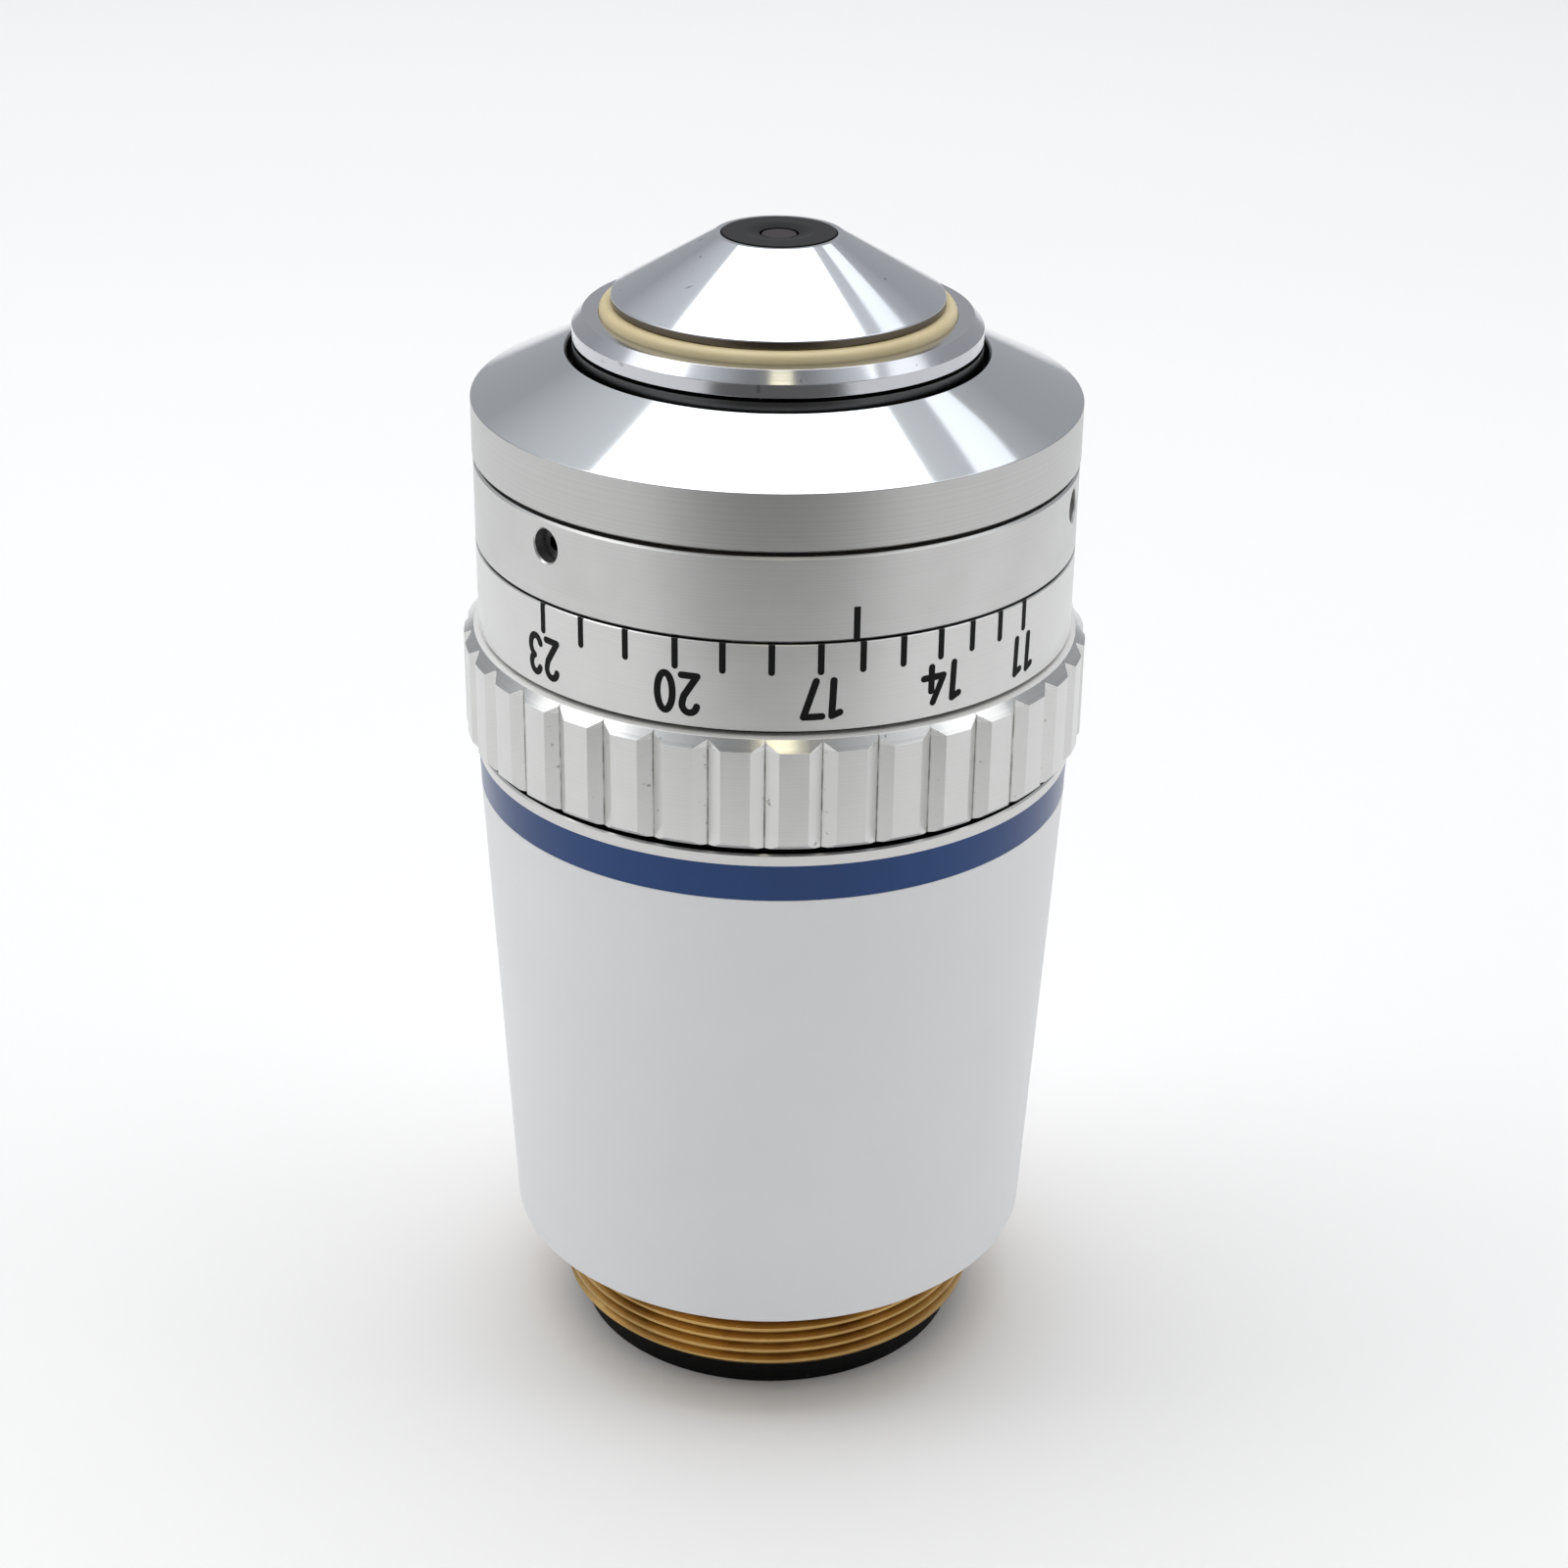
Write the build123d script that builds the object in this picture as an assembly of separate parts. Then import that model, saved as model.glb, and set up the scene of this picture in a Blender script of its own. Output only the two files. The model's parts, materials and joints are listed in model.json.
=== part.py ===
from build123d import *
from math import sqrt
import os

os.makedirs("parts", exist_ok=True)

# A high-power immersion objective with a correction collar and a spring-loaded nose.
# It stands on its thread end, nose up: z = 0 is the rear face, the optical axis is Z,
# and the correction scale faces -Y. Azimuths are counted from -Y towards +X, in degrees.

# Standard sizes of this objective family
parfocal_distance = 60.0        # from the mounting shoulder to the specimen
working_distance = 0.15
thread_r = 12.5                 # M25 x 0.75
thread_length = 5.2
thread_chamfer = 0.35

# Clearances
seat_gap = 0.02                 # screwed, cemented and pressed seats
slide_gap = 0.05                # running and sliding fits, on the radius
stop_gap = 0.05                 # axial gap at a stop
loose_gap = 0.1                 # beside what must never touch
cut_margin = 1.0                # how far a cutting shape runs past what it cuts

# Rear ring
rear_ring_inset = 1.05          # inside the thread's crest
rear_ring_height = 1.8
rear_ring_spigot = 3.2
rear_rim_width = 1.85
rear_mouth_flare = 2.1
rear_mouth_depth = 1.5
spanner_slot_width = 1.6
spanner_slot_depth = 0.8
spanner_slot_wall = 0.8         # left between a slot's end and the ring's outside

# Mounting thread piece: thread, lip, flange and the spigot that carries the guide tube
thread_wall = 1.9
thread_lip_step = 0.4           # the lip in the sleeve's hole stands out this far past the thread
sleeve_lip_height = 1.5
mount_flange_height = 1.5

# Body sleeve, a slow taper
sleeve_low_wall = 1.1
sleeve_taper = 0.0512           # radius gained for each millimetre of height
sleeve_step_drop = 1.3          # from the guide pin down to the bore's step
sleeve_low_chamfer = 0.3
edge_break = 0.12               # on the turned outer edges
band_drop = 0.72                # from the sleeve's top to the colour band
band_height = 2.1
band_depth = 0.2
band_recess = 0.03

# Lens tube, the inner barrel that springs back; the radii outside it build up from its bore
tube_bore_inset = 3.1           # inside the thread's crest
tube_wall = 2.3
tube_rear_wall = 1.88
tube_shoulder = 0.6             # how far the front bearing stands out
tube_end_clearance = 0.5
tube_lip_height = 1.0
tube_lip_width = 1.4
guide_ring_height = 6.0
guide_slot_depth = 1.35
guide_pin_r = 0.9
guide_pin_rise = 1.8            # above the guide ring's lower face at rest
guide_pin_reach = 1.2           # into the guide tube's bore

# Cam ring and its helical slot
cam_wall = 1.55
cam_lead = 8.64                 # rise for one full turn
cam_pin_r = 0.9
cam_pin_drop = 5.56             # below the collar's lower face
cam_tail = 4.5                  # below the cam pin's lowest place
cam_end_gap = 0.1
cam_overrun = 1.0               # degrees of slot past each end of the travel
cam_azimuth = 0.0
cam_pin_seat = 1.55             # depth of the pin in the correction cell's wall

# Guide tube, which carries collar, index ring and cover outside and the nose inside
guide_wall = 1.7
guide_low_wall = 0.88
guide_lip_rise = 2.0            # the front bearing starts this far above the cam ring
guide_end_drop = 3.03           # from the cover's rim to the guide tube's end

# Correction collar: scale band above, fluted grip below
scale_wall = 1.55
scale_height = 4.85
undercut_height = 0.29
undercut_depth = 0.4
grip_step = 0.85                # the grip stands out this far past the scale
grip_height = 6.2
grip_top_chamfer = 0.57
grip_low_chamfer = 0.3
flute_count = 36
flute_width = 1.55
flute_depth = 0.46
flute_azimuth = -1.4            # the first groove left of the front
collar_gap = 0.45               # open gap between sleeve and grip
washer_thickness = 0.36
washer_inner_gap = 0.2
washer_width = 1.1

# Collar travel, from the rest reading to each end of the scale
turn_to_low_end = -37.5
turn_to_high_end = 61.4

# Drive key, from the collar through the guide tube's slot into the cam ring
key_azimuth = 150.0
key_width = 3.0
key_height = 3.5
key_rise = 0.9                  # above the collar's lower face
key_seat_depth = 0.9
key_reach = 1.25                # into the cam ring's wall

# Index ring and its set screws
index_height = 4.65
index_gap = 0.1
set_screw_count = 3
set_screw_azimuth = -45.7
set_screw_r = 0.9
set_screw_length = 1.5
set_screw_drop = 1.45           # below the ring's upper face
set_screw_reach = 0.6           # into the guide tube
socket_r = 0.45
socket_depth = 0.7

# Front cover
cover_step = 0.05               # the cover stands out this far past the index ring
cover_gap = 0.25
cover_rim_height = 3.14
cover_cone_height = 2.49
cover_lip_thickness = 1.23
cover_hole_gap = 0.3            # open gap round the nose
cover_hole_land = 0.15
cover_well_gap = 0.3

# Nose: cone, seal and flange, counted down from the nose face
nose_rise = 6.32                # nose face above the cover's hole
nose_travel = 2.5               # how far the nose springs back
face_step = 0.05
cone_top_land = 0.35
cone_height = 3.3
cone_rim_height = 0.45
cone_overhang = 0.48            # the cone stands out this far past its spigot
cone_spigot_length = 6.5
cone_wall = 1.98
flange_top_drop = 4.34
flange_chamfer_width = 0.56
flange_chamfer_height = 0.63
flange_height = 1.36
flange_groove = 0.2
flange_groove_depth = 0.35
flange_spigot_step = 0.75       # outside the lens tube's bore
flange_overhang = 1.03          # the flange stands out this far past its spigot
flange_wall = 1.57
seal_width = 1.12
seal_depth = 0.55               # how deep the seal sits in the flange
seal_round = 0.45

# Springs
main_spring_wire = 1.1
main_spring_turns = 3.5
correction_spring_length = 6.0
correction_spring_wire = 0.6
correction_spring_turns = 4.0

# Lens cells, each with its height and wall, and the rings between them
cell_wall_gap = 0.05
cell_lip = 0.7                  # how far a cell's seat reaches under its lens
cell_floor = 0.4
stack_ledge = 0.4
third_cell_height = 4.4
third_cell_wall = 2.35
front_spacer_height = 1.2
spacer_wall = 1.4
doublet_cell_height = 5.4
doublet_cell_wall = 2.35
front_nut_wall = 3.3
front_nut_height = 1.35
second_cell_height = 4.0
second_cell_wall = 1.38
correction_cell_height = 8.0
correction_cell_wall = 2.75
correction_floor = 1.9
lock_ring_height = 1.4
lock_ring_wall = 1.5
middle_cell_height = 5.0
middle_cell_wall = 3.35
rear_spacer_height = 1.0
rear_cell_height = 3.2
rear_cell_wall = 3.75
rear_nut_height = 1.4
rear_nut_recess = 0.3
rear_nut_wall = 3.2

# Front cell, the black face of the nose, with the front lens
face_r = 3.1
face_hole_gap = 0.05
front_cell_step = 1.45          # the cell's body stands out this far past its face
front_cell_wall = 0.65
front_cell_height = 4.45
front_cell_neck = 1.55
dish_r = 1.7
dish_depth = 0.1
front_lens_r = 1.45
front_lens_drop = 1.25          # centre of its sphere below the nose face
front_lens_recess = 0.13
front_lens_mouth_r = 1.0
front_lens_taper = 0.67
meniscus_gap = 0.2

# Sags of the cemented faces that two lenses share
doublet_joint_sag = 0.9
correction_joint_sag = 0.8
middle_joint_sag = 0.8

# Radii of the barrel, from the lens tube's bore outwards
tube_bore_r = thread_r - tube_bore_inset
tube_r = tube_bore_r + tube_wall
tube_rear_r = tube_bore_r + tube_rear_wall
tube_front_r = tube_r + tube_shoulder
tube_lip_r = tube_bore_r - tube_lip_width
cell_r = tube_bore_r - cell_wall_gap
cam_bore_r = tube_r + slide_gap
cam_r = cam_bore_r + cam_wall
guide_bore_r = cam_r + 2 * slide_gap
guide_ring_r = guide_bore_r - slide_gap
guide_lip_r = tube_front_r + slide_gap
guide_low_r = guide_bore_r + guide_low_wall
guide_r = guide_bore_r + guide_wall
sleeve_bore_r = guide_r + seat_gap
sleeve_low_bore_r = guide_low_r + seat_gap
sleeve_low_r = sleeve_low_bore_r + sleeve_low_wall
collar_bore_r = guide_r + slide_gap
scale_r = collar_bore_r + scale_wall
undercut_r = scale_r - undercut_depth
grip_r = scale_r + grip_step
index_bore_r = guide_r + seat_gap
cover_r = scale_r + cover_step

# Radii of the thread end
mount_bore_r = thread_r - thread_wall
thread_lip_r = thread_r + thread_lip_step
rear_ring_r = thread_r - rear_ring_inset
rear_mouth_r = rear_ring_r - rear_rim_width
rear_bore_r = rear_mouth_r - rear_mouth_flare

# Radii of the nose
flange_spigot_r = tube_bore_r + flange_spigot_step
flange_r = flange_spigot_r + flange_overhang
tube_neck_r = flange_r
cover_hole_r = flange_r + cover_hole_gap
cone_spigot_r = flange_spigot_r - flange_wall
cone_low_r = cone_spigot_r + cone_overhang
cone_bore_r = cone_spigot_r - cone_wall
cone_top_r = face_r + cone_top_land
seal_r = cone_spigot_r + seal_width
front_cell_r = face_r + front_cell_step

# Lenses: rim radius, thickness on the axis, and the sag of the rear and front faces (convex is plus)
meniscus = dict(rim_r=front_cell_r - front_cell_wall, thickness=0.7, rear_sag=0.7, front_sag=-0.6)
second_rim_r = cone_bore_r - seat_gap - second_cell_wall
second_lens = dict(rim_r=second_rim_r, thickness=1.9, rear_sag=1.1, front_sag=-0.5)
third_lens = dict(rim_r=cell_r - third_cell_wall, thickness=2.3, rear_sag=1.0, front_sag=0.6)
doublet_rim_r = cell_r - doublet_cell_wall
doublet_crown = dict(rim_r=doublet_rim_r, thickness=2.4, rear_sag=1.0, front_sag=doublet_joint_sag)
doublet_flint = dict(rim_r=doublet_rim_r, thickness=1.0, rear_sag=-doublet_joint_sag, front_sag=0.2)
correction_rim_r = cell_r - correction_cell_wall
correction_flint = dict(rim_r=correction_rim_r, thickness=0.8, rear_sag=-0.5, front_sag=-correction_joint_sag)
correction_crown = dict(rim_r=correction_rim_r, thickness=2.4, rear_sag=correction_joint_sag, front_sag=0.6)
middle_rim_r = cell_r - middle_cell_wall
middle_crown = dict(rim_r=middle_rim_r, thickness=2.3, rear_sag=0.8, front_sag=middle_joint_sag)
middle_flint = dict(rim_r=middle_rim_r, thickness=0.8, rear_sag=-middle_joint_sag, front_sag=-0.2)
rear_lens = dict(rim_r=cell_r - rear_cell_wall, thickness=1.6, rear_sag=-0.4, front_sag=0.7)

# Heights of the outside, from the shoulder to the nose face and down again to the sleeve
shoulder_z = rear_ring_height + thread_length
nose_z = shoulder_z + parfocal_distance - working_distance
cover_top_z = nose_z - nose_rise
cover_edge_z = cover_top_z - cover_cone_height
cover_low_z = cover_edge_z - cover_rim_height
index_top_z = cover_low_z - cover_gap
index_low_z = index_top_z - index_height
collar_top_z = index_low_z - index_gap
scale_low_z = collar_top_z - scale_height
grip_top_z = scale_low_z - undercut_height
collar_low_z = grip_top_z - grip_height
sleeve_top_z = collar_low_z - collar_gap

# Heights of the correction cell and of the lens stack behind it
cam_pin_z = collar_low_z - cam_pin_drop
cam_lift = cam_lead / 360
cell_travel_down = -turn_to_low_end * cam_lift
cell_travel_up = turn_to_high_end * cam_lift
correction_low_z = cam_pin_z - correction_cell_height / 2
correction_high_z = correction_low_z + correction_cell_height
rear_lip_z = correction_low_z - cell_travel_down - 2 * loose_gap - tube_lip_height
middle_low_z = rear_lip_z - middle_cell_height
rear_spacer_z = middle_low_z - rear_spacer_height
rear_low_z = rear_spacer_z - rear_cell_height
rear_nut_z = rear_low_z - rear_nut_height
tube_low_z = rear_nut_z - rear_nut_recess

# Heights of the mechanism, from the thread piece to the guide tube's end
mount_flange_z = shoulder_z + sleeve_lip_height
mount_seat_z = mount_flange_z + mount_flange_height
mount_top_z = tube_low_z - nose_travel - tube_end_clearance
cam_low_z = cam_pin_z - cell_travel_down - cam_tail
cam_high_z = collar_top_z - cam_end_gap
guide_ring_top_z = cam_low_z - cam_end_gap
guide_ring_low_z = guide_ring_top_z - guide_ring_height
guide_pin_z = guide_ring_low_z + guide_pin_rise
sleeve_step_z = guide_pin_z - sleeve_step_drop
main_spring_length = guide_ring_low_z - mount_top_z
tube_step_z = cam_high_z + cam_end_gap
guide_lip_z = cam_high_z + guide_lip_rise
guide_top_z = cover_top_z - guide_end_drop
cover_lip_z = cover_top_z - cover_lip_thickness
tube_stop_z = cover_lip_z - stop_gap
key_low_z = collar_low_z + key_rise
key_high_z = key_low_z + key_height

# Heights of the lens stack in front of the correction cell
front_lip_z = correction_high_z + correction_spring_length
doublet_low_z = front_lip_z + tube_lip_height
front_spacer_z = doublet_low_z + doublet_cell_height
third_low_z = front_spacer_z + front_spacer_height
stack_top_z = third_low_z + third_cell_height

# Heights of the nose
flange_top_z = nose_z - flange_top_drop
flange_low_z = flange_top_z - flange_height
tube_top_z = flange_low_z - flange_groove
cone_rim_z = nose_z - face_step - cone_height
cone_low_z = cone_rim_z - cone_rim_height
cone_spigot_z = cone_low_z - cone_spigot_length
front_cell_low_z = nose_z - front_cell_height
cone_bore_top_z = front_cell_low_z + loose_gap
front_nut_z = front_cell_low_z - seat_gap - front_nut_height
second_low_z = front_nut_z - second_cell_height
front_lens_z = nose_z - front_lens_drop
meniscus_z = front_lens_z - front_lens_r - meniscus_gap - meniscus["thickness"]

# Places of the set screws
set_screw_z = index_top_z - set_screw_drop
set_screw_azimuths = [set_screw_azimuth + i * 360 / set_screw_count for i in range(set_screw_count)]


def turned(*profile):
    """Solid of revolution about the optical axis, from (radius, height) corners."""
    return revolve(Plane.XZ * make_face(Polyline(*profile, close=True)), Axis.Z)


def ring(inner_r, outer_r, low_z, high_z):
    return turned((inner_r, low_z), (outer_r, low_z), (outer_r, high_z), (inner_r, high_z))


def facing(azimuth):
    """Turns something built along +X so that it points to an azimuth."""
    return Rot(0, 0, azimuth - 90)


def radial_rod(radius, inner_r, outer_r, z, azimuth):
    rod = Cylinder(radius, outer_r - inner_r, align=(Align.CENTER, Align.CENTER, Align.MIN))
    return facing(azimuth) * Pos(inner_r, 0, z) * Rot(0, 90, 0) * rod


def radial_block(width, inner_r, outer_r, low_z, high_z, azimuth):
    block = Box(outer_r - inner_r, width, high_z - low_z, align=(Align.MIN, Align.CENTER, Align.MIN))
    return facing(azimuth) * Pos(inner_r, 0, low_z) * block


def coil(low_z, length, mean_r, wire, turns):
    """A compression spring standing between two faces."""
    rise = length - wire
    path = Helix(pitch=rise / turns, height=rise, radius=mean_r)
    section = Plane(origin=path @ 0, z_dir=path % 0) * Circle(wire / 2)
    return Pos(0, 0, low_z + wire / 2) * sweep(section, path=path, is_frenet=True)


def sleeve_r(z):
    return sleeve_low_r + sleeve_taper * (z - shoulder_z)


def sag_at(rim_r, rim_sag, r):
    """Depth of a spherical face at radius r, when its depth at the rim is rim_sag."""
    if rim_sag == 0:
        return 0
    ball_r = (rim_r ** 2 + rim_sag ** 2) / (2 * abs(rim_sag))
    depth = ball_r - sqrt(ball_r ** 2 - r ** 2)
    return depth if rim_sag > 0 else -depth


def lens(form, rear_z):
    """A lens whose rear face crosses the axis at rear_z."""
    rim_r, front_z = form["rim_r"], rear_z + form["thickness"]
    rear_half = sag_at(rim_r, form["rear_sag"], rim_r / 2)
    front_half = sag_at(rim_r, form["front_sag"], rim_r / 2)
    rear_rim = (rim_r, rear_z + form["rear_sag"])
    front_rim = (rim_r, front_z - form["front_sag"])
    outline = [
        ThreePointArc((0, rear_z), (rim_r / 2, rear_z + rear_half), rear_rim),
        Line(rear_rim, front_rim),
        ThreePointArc(front_rim, (rim_r / 2, front_z - front_half), (0, front_z)),
        Line((0, front_z), (0, rear_z)),
    ]
    return revolve(Plane.XZ * make_face(outline), Axis.Z)


def seat_z(form, low_z, floor=cell_floor):
    """Height of the lip that carries a lens in a cell."""
    return low_z + floor + max(form["rear_sag"], 0)


def seated_z(form, lip_z):
    """Height of a lens's rear face on the axis when it rests on a lip at lip_z."""
    if form["rear_sag"] < 0:
        return lip_z + seat_gap - form["rear_sag"]
    return lip_z + seat_gap - sag_at(form["rim_r"], form["rear_sag"], form["rim_r"] - cell_lip)


def cemented_z(form, rear_z):
    """Height at which the next lens of a doublet starts."""
    return rear_z + form["thickness"] + seat_gap


def lens_cell(outer_r, low_z, height, form, floor=cell_floor):
    lip_z = seat_z(form, low_z, floor)
    lip_r, bore_r = form["rim_r"] - cell_lip, form["rim_r"] + seat_gap
    return turned((lip_r, low_z), (outer_r, low_z), (outer_r, low_z + height),
                  (bore_r, low_z + height), (bore_r, lip_z), (lip_r, lip_z))


def doublet(nodes, name, first, second, low_z, floor=cell_floor):
    """Adds the two cemented lenses of a cell."""
    rear_z = seated_z(first[1], seat_z(first[1], low_z, floor))
    nodes[f"{name}_{first[0]}"] = lens(first[1], rear_z)
    nodes[f"{name}_{second[0]}"] = lens(second[1], cemented_z(first[1], rear_z))


def rear_ring():
    """Black ring at the thread's end, with a flared mouth and two spanner slots."""
    body = turned((rear_bore_r, rear_mouth_depth), (rear_mouth_r, 0), (rear_ring_r, 0),
                  (rear_ring_r, rear_ring_height), (mount_bore_r - seat_gap, rear_ring_height),
                  (mount_bore_r - seat_gap, rear_ring_height + rear_ring_spigot),
                  (rear_bore_r, rear_ring_height + rear_ring_spigot))
    slots = Box(spanner_slot_width, 2 * (rear_ring_r - spanner_slot_wall), 2 * spanner_slot_depth)
    return body - slots


def mount_thread():
    """Brass piece with the mounting thread, the flange that holds the sleeve and the guide tube's seat."""
    low_z = rear_ring_height
    wide_r, spigot_r = sleeve_low_bore_r - seat_gap, guide_bore_r - seat_gap
    return turned((mount_bore_r, low_z), (thread_r - thread_chamfer, low_z),
                  (thread_r, low_z + thread_chamfer), (thread_r, shoulder_z),
                  (thread_lip_r, shoulder_z), (thread_lip_r, mount_flange_z),
                  (wide_r, mount_flange_z), (wide_r, mount_seat_z), (spigot_r, mount_seat_z),
                  (spigot_r, mount_top_z), (mount_bore_r, mount_top_z))


def body_sleeve():
    """Tapered outer sleeve with a groove for the colour band."""
    top_z, band_top = sleeve_top_z, sleeve_top_z - band_drop
    band_low, hole_r = band_top - band_height, thread_lip_r + seat_gap
    return turned((hole_r, shoulder_z), (sleeve_low_r - sleeve_low_chamfer, shoulder_z),
                  (sleeve_r(shoulder_z + sleeve_low_chamfer), shoulder_z + sleeve_low_chamfer),
                  (sleeve_r(band_low), band_low), (sleeve_r(band_low) - band_depth, band_low),
                  (sleeve_r(band_top) - band_depth, band_top), (sleeve_r(band_top), band_top),
                  (sleeve_r(top_z - edge_break), top_z - edge_break),
                  (sleeve_r(top_z) - edge_break, top_z), (sleeve_bore_r, top_z),
                  (sleeve_bore_r, sleeve_step_z), (sleeve_low_bore_r, sleeve_step_z),
                  (sleeve_low_bore_r, mount_flange_z), (hole_r, mount_flange_z))


def colour_band():
    """Enamel that fills the sleeve's groove."""
    top_z = sleeve_top_z - band_drop
    low_z = top_z - band_height
    return turned((sleeve_r(low_z) - band_depth, low_z), (sleeve_r(low_z) - band_recess, low_z),
                  (sleeve_r(top_z) - band_recess, top_z), (sleeve_r(top_z) - band_depth, top_z))


def collar_sector(low_z, high_z):
    """The space that the drive key sweeps through the guide tube's wall."""
    inner_r, outer_r = guide_bore_r - cut_margin, guide_r + cut_margin
    width = key_width + 2 * loose_gap
    section = Rectangle(outer_r - inner_r, high_z - low_z)
    face = Plane.XZ * Pos((inner_r + outer_r) / 2, (low_z + high_z) / 2) * section
    swept = facing(key_azimuth + turn_to_low_end) * revolve(face, Axis.Z, turn_to_high_end - turn_to_low_end)
    for turn in (turn_to_low_end, turn_to_high_end):
        swept += radial_block(width, inner_r, outer_r, low_z, high_z, key_azimuth + turn)
    return swept


def guide_tube():
    """Fixed inner barrel: the nose slides in it, the collar turns on it."""
    body = turned((guide_bore_r, mount_seat_z), (guide_low_r, mount_seat_z),
                  (guide_low_r, sleeve_step_z + seat_gap), (guide_r, sleeve_step_z + seat_gap),
                  (guide_r, guide_top_z), (guide_lip_r, guide_top_z), (guide_lip_r, guide_lip_z),
                  (guide_bore_r, guide_lip_z))
    body -= collar_sector(key_low_z - loose_gap, key_high_z + loose_gap)
    outer_r = guide_r + cut_margin
    body -= radial_rod(guide_pin_r + seat_gap, guide_bore_r - cut_margin, outer_r, guide_pin_z, cam_azimuth)
    for azimuth in set_screw_azimuths:
        body -= radial_rod(set_screw_r + seat_gap, guide_r - set_screw_reach, outer_r, set_screw_z, azimuth)
    return body


def guide_pin():
    """Pin that keeps the nose from turning."""
    inner_r, outer_r = guide_bore_r - guide_pin_reach, guide_r - seat_gap
    return radial_rod(guide_pin_r, inner_r, outer_r, guide_pin_z, cam_azimuth)


def index_ring():
    """Fixed ring above the scale, held by set screws."""
    body = turned((index_bore_r, index_low_z), (scale_r - edge_break, index_low_z),
                  (scale_r, index_low_z + edge_break), (scale_r, index_top_z - edge_break),
                  (scale_r - edge_break, index_top_z), (index_bore_r, index_top_z))
    inner_r, outer_r = guide_r - cut_margin, scale_r + cut_margin
    for azimuth in set_screw_azimuths:
        body -= radial_rod(set_screw_r + seat_gap, inner_r, outer_r, set_screw_z, azimuth)
    return body


def set_screw(azimuth):
    """Headless screw with a hexagon socket, sunk below the ring's surface."""
    inner_r = guide_r - set_screw_reach + seat_gap
    outer_r = inner_r + set_screw_length
    hexagon = extrude(RegularPolygon(socket_r, 6), 2 * socket_depth)
    socket = Pos(outer_r - socket_depth, 0, set_screw_z) * Rot(0, 90, 0) * hexagon
    return radial_rod(set_screw_r, inner_r, outer_r, set_screw_z, azimuth) - facing(azimuth) * socket


def front_cover():
    """Conical cover with the hole that the nose comes through."""
    skirt_r, well_r = guide_r + seat_gap, tube_front_r + cover_well_gap
    shelf_z = guide_top_z + seat_gap
    return turned((skirt_r, cover_low_z), (cover_r - edge_break, cover_low_z),
                  (cover_r, cover_low_z + edge_break), (cover_r, cover_edge_z),
                  (cover_hole_r + cover_hole_land, cover_top_z),
                  (cover_hole_r, cover_top_z - cover_hole_land), (cover_hole_r, cover_lip_z),
                  (well_r, cover_lip_z), (well_r, shelf_z), (skirt_r, shelf_z))


def friction_washer():
    inner_r = guide_r + washer_inner_gap
    return ring(inner_r, inner_r + washer_width, sleeve_top_z, sleeve_top_z + washer_thickness)


def flute():
    """One V-shaped cut along the grip, its point inwards."""
    valley_r, outer_r = grip_r - flute_depth, grip_r + flute_depth
    outline = Polyline((valley_r, 0), (outer_r, flute_width), (outer_r, -flute_width), close=True)
    height = grip_height + undercut_height + flute_depth
    return Pos(0, 0, collar_low_z - flute_depth) * extrude(make_face(outline), height)


def correction_collar():
    """Turned collar: scale band above, fluted grip below, a seat for the drive key in its bore."""
    body = turned((collar_bore_r, collar_low_z), (grip_r - grip_low_chamfer, collar_low_z),
                  (grip_r, collar_low_z + grip_low_chamfer), (grip_r, grip_top_z - grip_top_chamfer),
                  (grip_r - grip_top_chamfer, grip_top_z), (undercut_r, grip_top_z),
                  (undercut_r, scale_low_z), (scale_r, scale_low_z), (scale_r, collar_top_z),
                  (collar_bore_r, collar_top_z))
    cutter = flute()
    pitch = 360 / flute_count
    body -= [facing(flute_azimuth + i * pitch) * cutter for i in range(flute_count)]
    inner_r, outer_r = collar_bore_r - cut_margin, collar_bore_r + key_seat_depth + seat_gap
    low_z, high_z = collar_low_z - cut_margin, key_high_z + seat_gap
    return body - radial_block(key_width + 2 * seat_gap, inner_r, outer_r, low_z, high_z, key_azimuth)


def drive_key():
    """Key that carries the collar's turn to the cam ring and stops it at both ends of the scale."""
    inner_r, outer_r = cam_r - key_reach, collar_bore_r + key_seat_depth
    return radial_block(key_width, inner_r, outer_r, key_low_z, key_high_z, key_azimuth)


def helical_slot():
    """The cuts that the cam pin runs in: a band along a helix, and a round end at each end of it."""
    start, end = turn_to_low_end - cam_overrun, turn_to_high_end + cam_overrun
    inner_r, outer_r = cam_bore_r - cut_margin, cam_r + cut_margin
    half_width, mean_r = cam_pin_r + slide_gap, (inner_r + outer_r) / 2
    path = Helix(pitch=cam_lead, height=(end - start) * cam_lift, radius=mean_r, lefthand=True)
    section = Plane(origin=path @ 0, x_dir=(1, 0, 0), z_dir=path % 0)
    band = sweep(section * Rectangle(outer_r - inner_r, 2 * half_width), path=path, is_frenet=True)
    cuts = [facing(cam_azimuth - start) * Pos(0, 0, cam_pin_z + start * cam_lift) * band]
    for turn in (start, end):
        end_z = cam_pin_z + turn * cam_lift
        cuts.append(radial_rod(half_width, inner_r, outer_r, end_z, cam_azimuth - turn))
    return cuts


def cam_ring():
    """Ring that turns with the collar and lifts the correction cell through its helical slot."""
    body = ring(cam_bore_r, cam_r, cam_low_z, cam_high_z)
    body -= radial_block(key_width + 2 * slide_gap, cam_bore_r - cut_margin, cam_r + cut_margin,
                         key_low_z - 2 * loose_gap, key_high_z + nose_travel + 2 * loose_gap, key_azimuth)
    for cut in helical_slot():
        body -= cut
    return body


def cam_pin():
    return radial_rod(cam_pin_r, cell_r - cam_pin_seat, cam_r - loose_gap, cam_pin_z, cam_azimuth)


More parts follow.
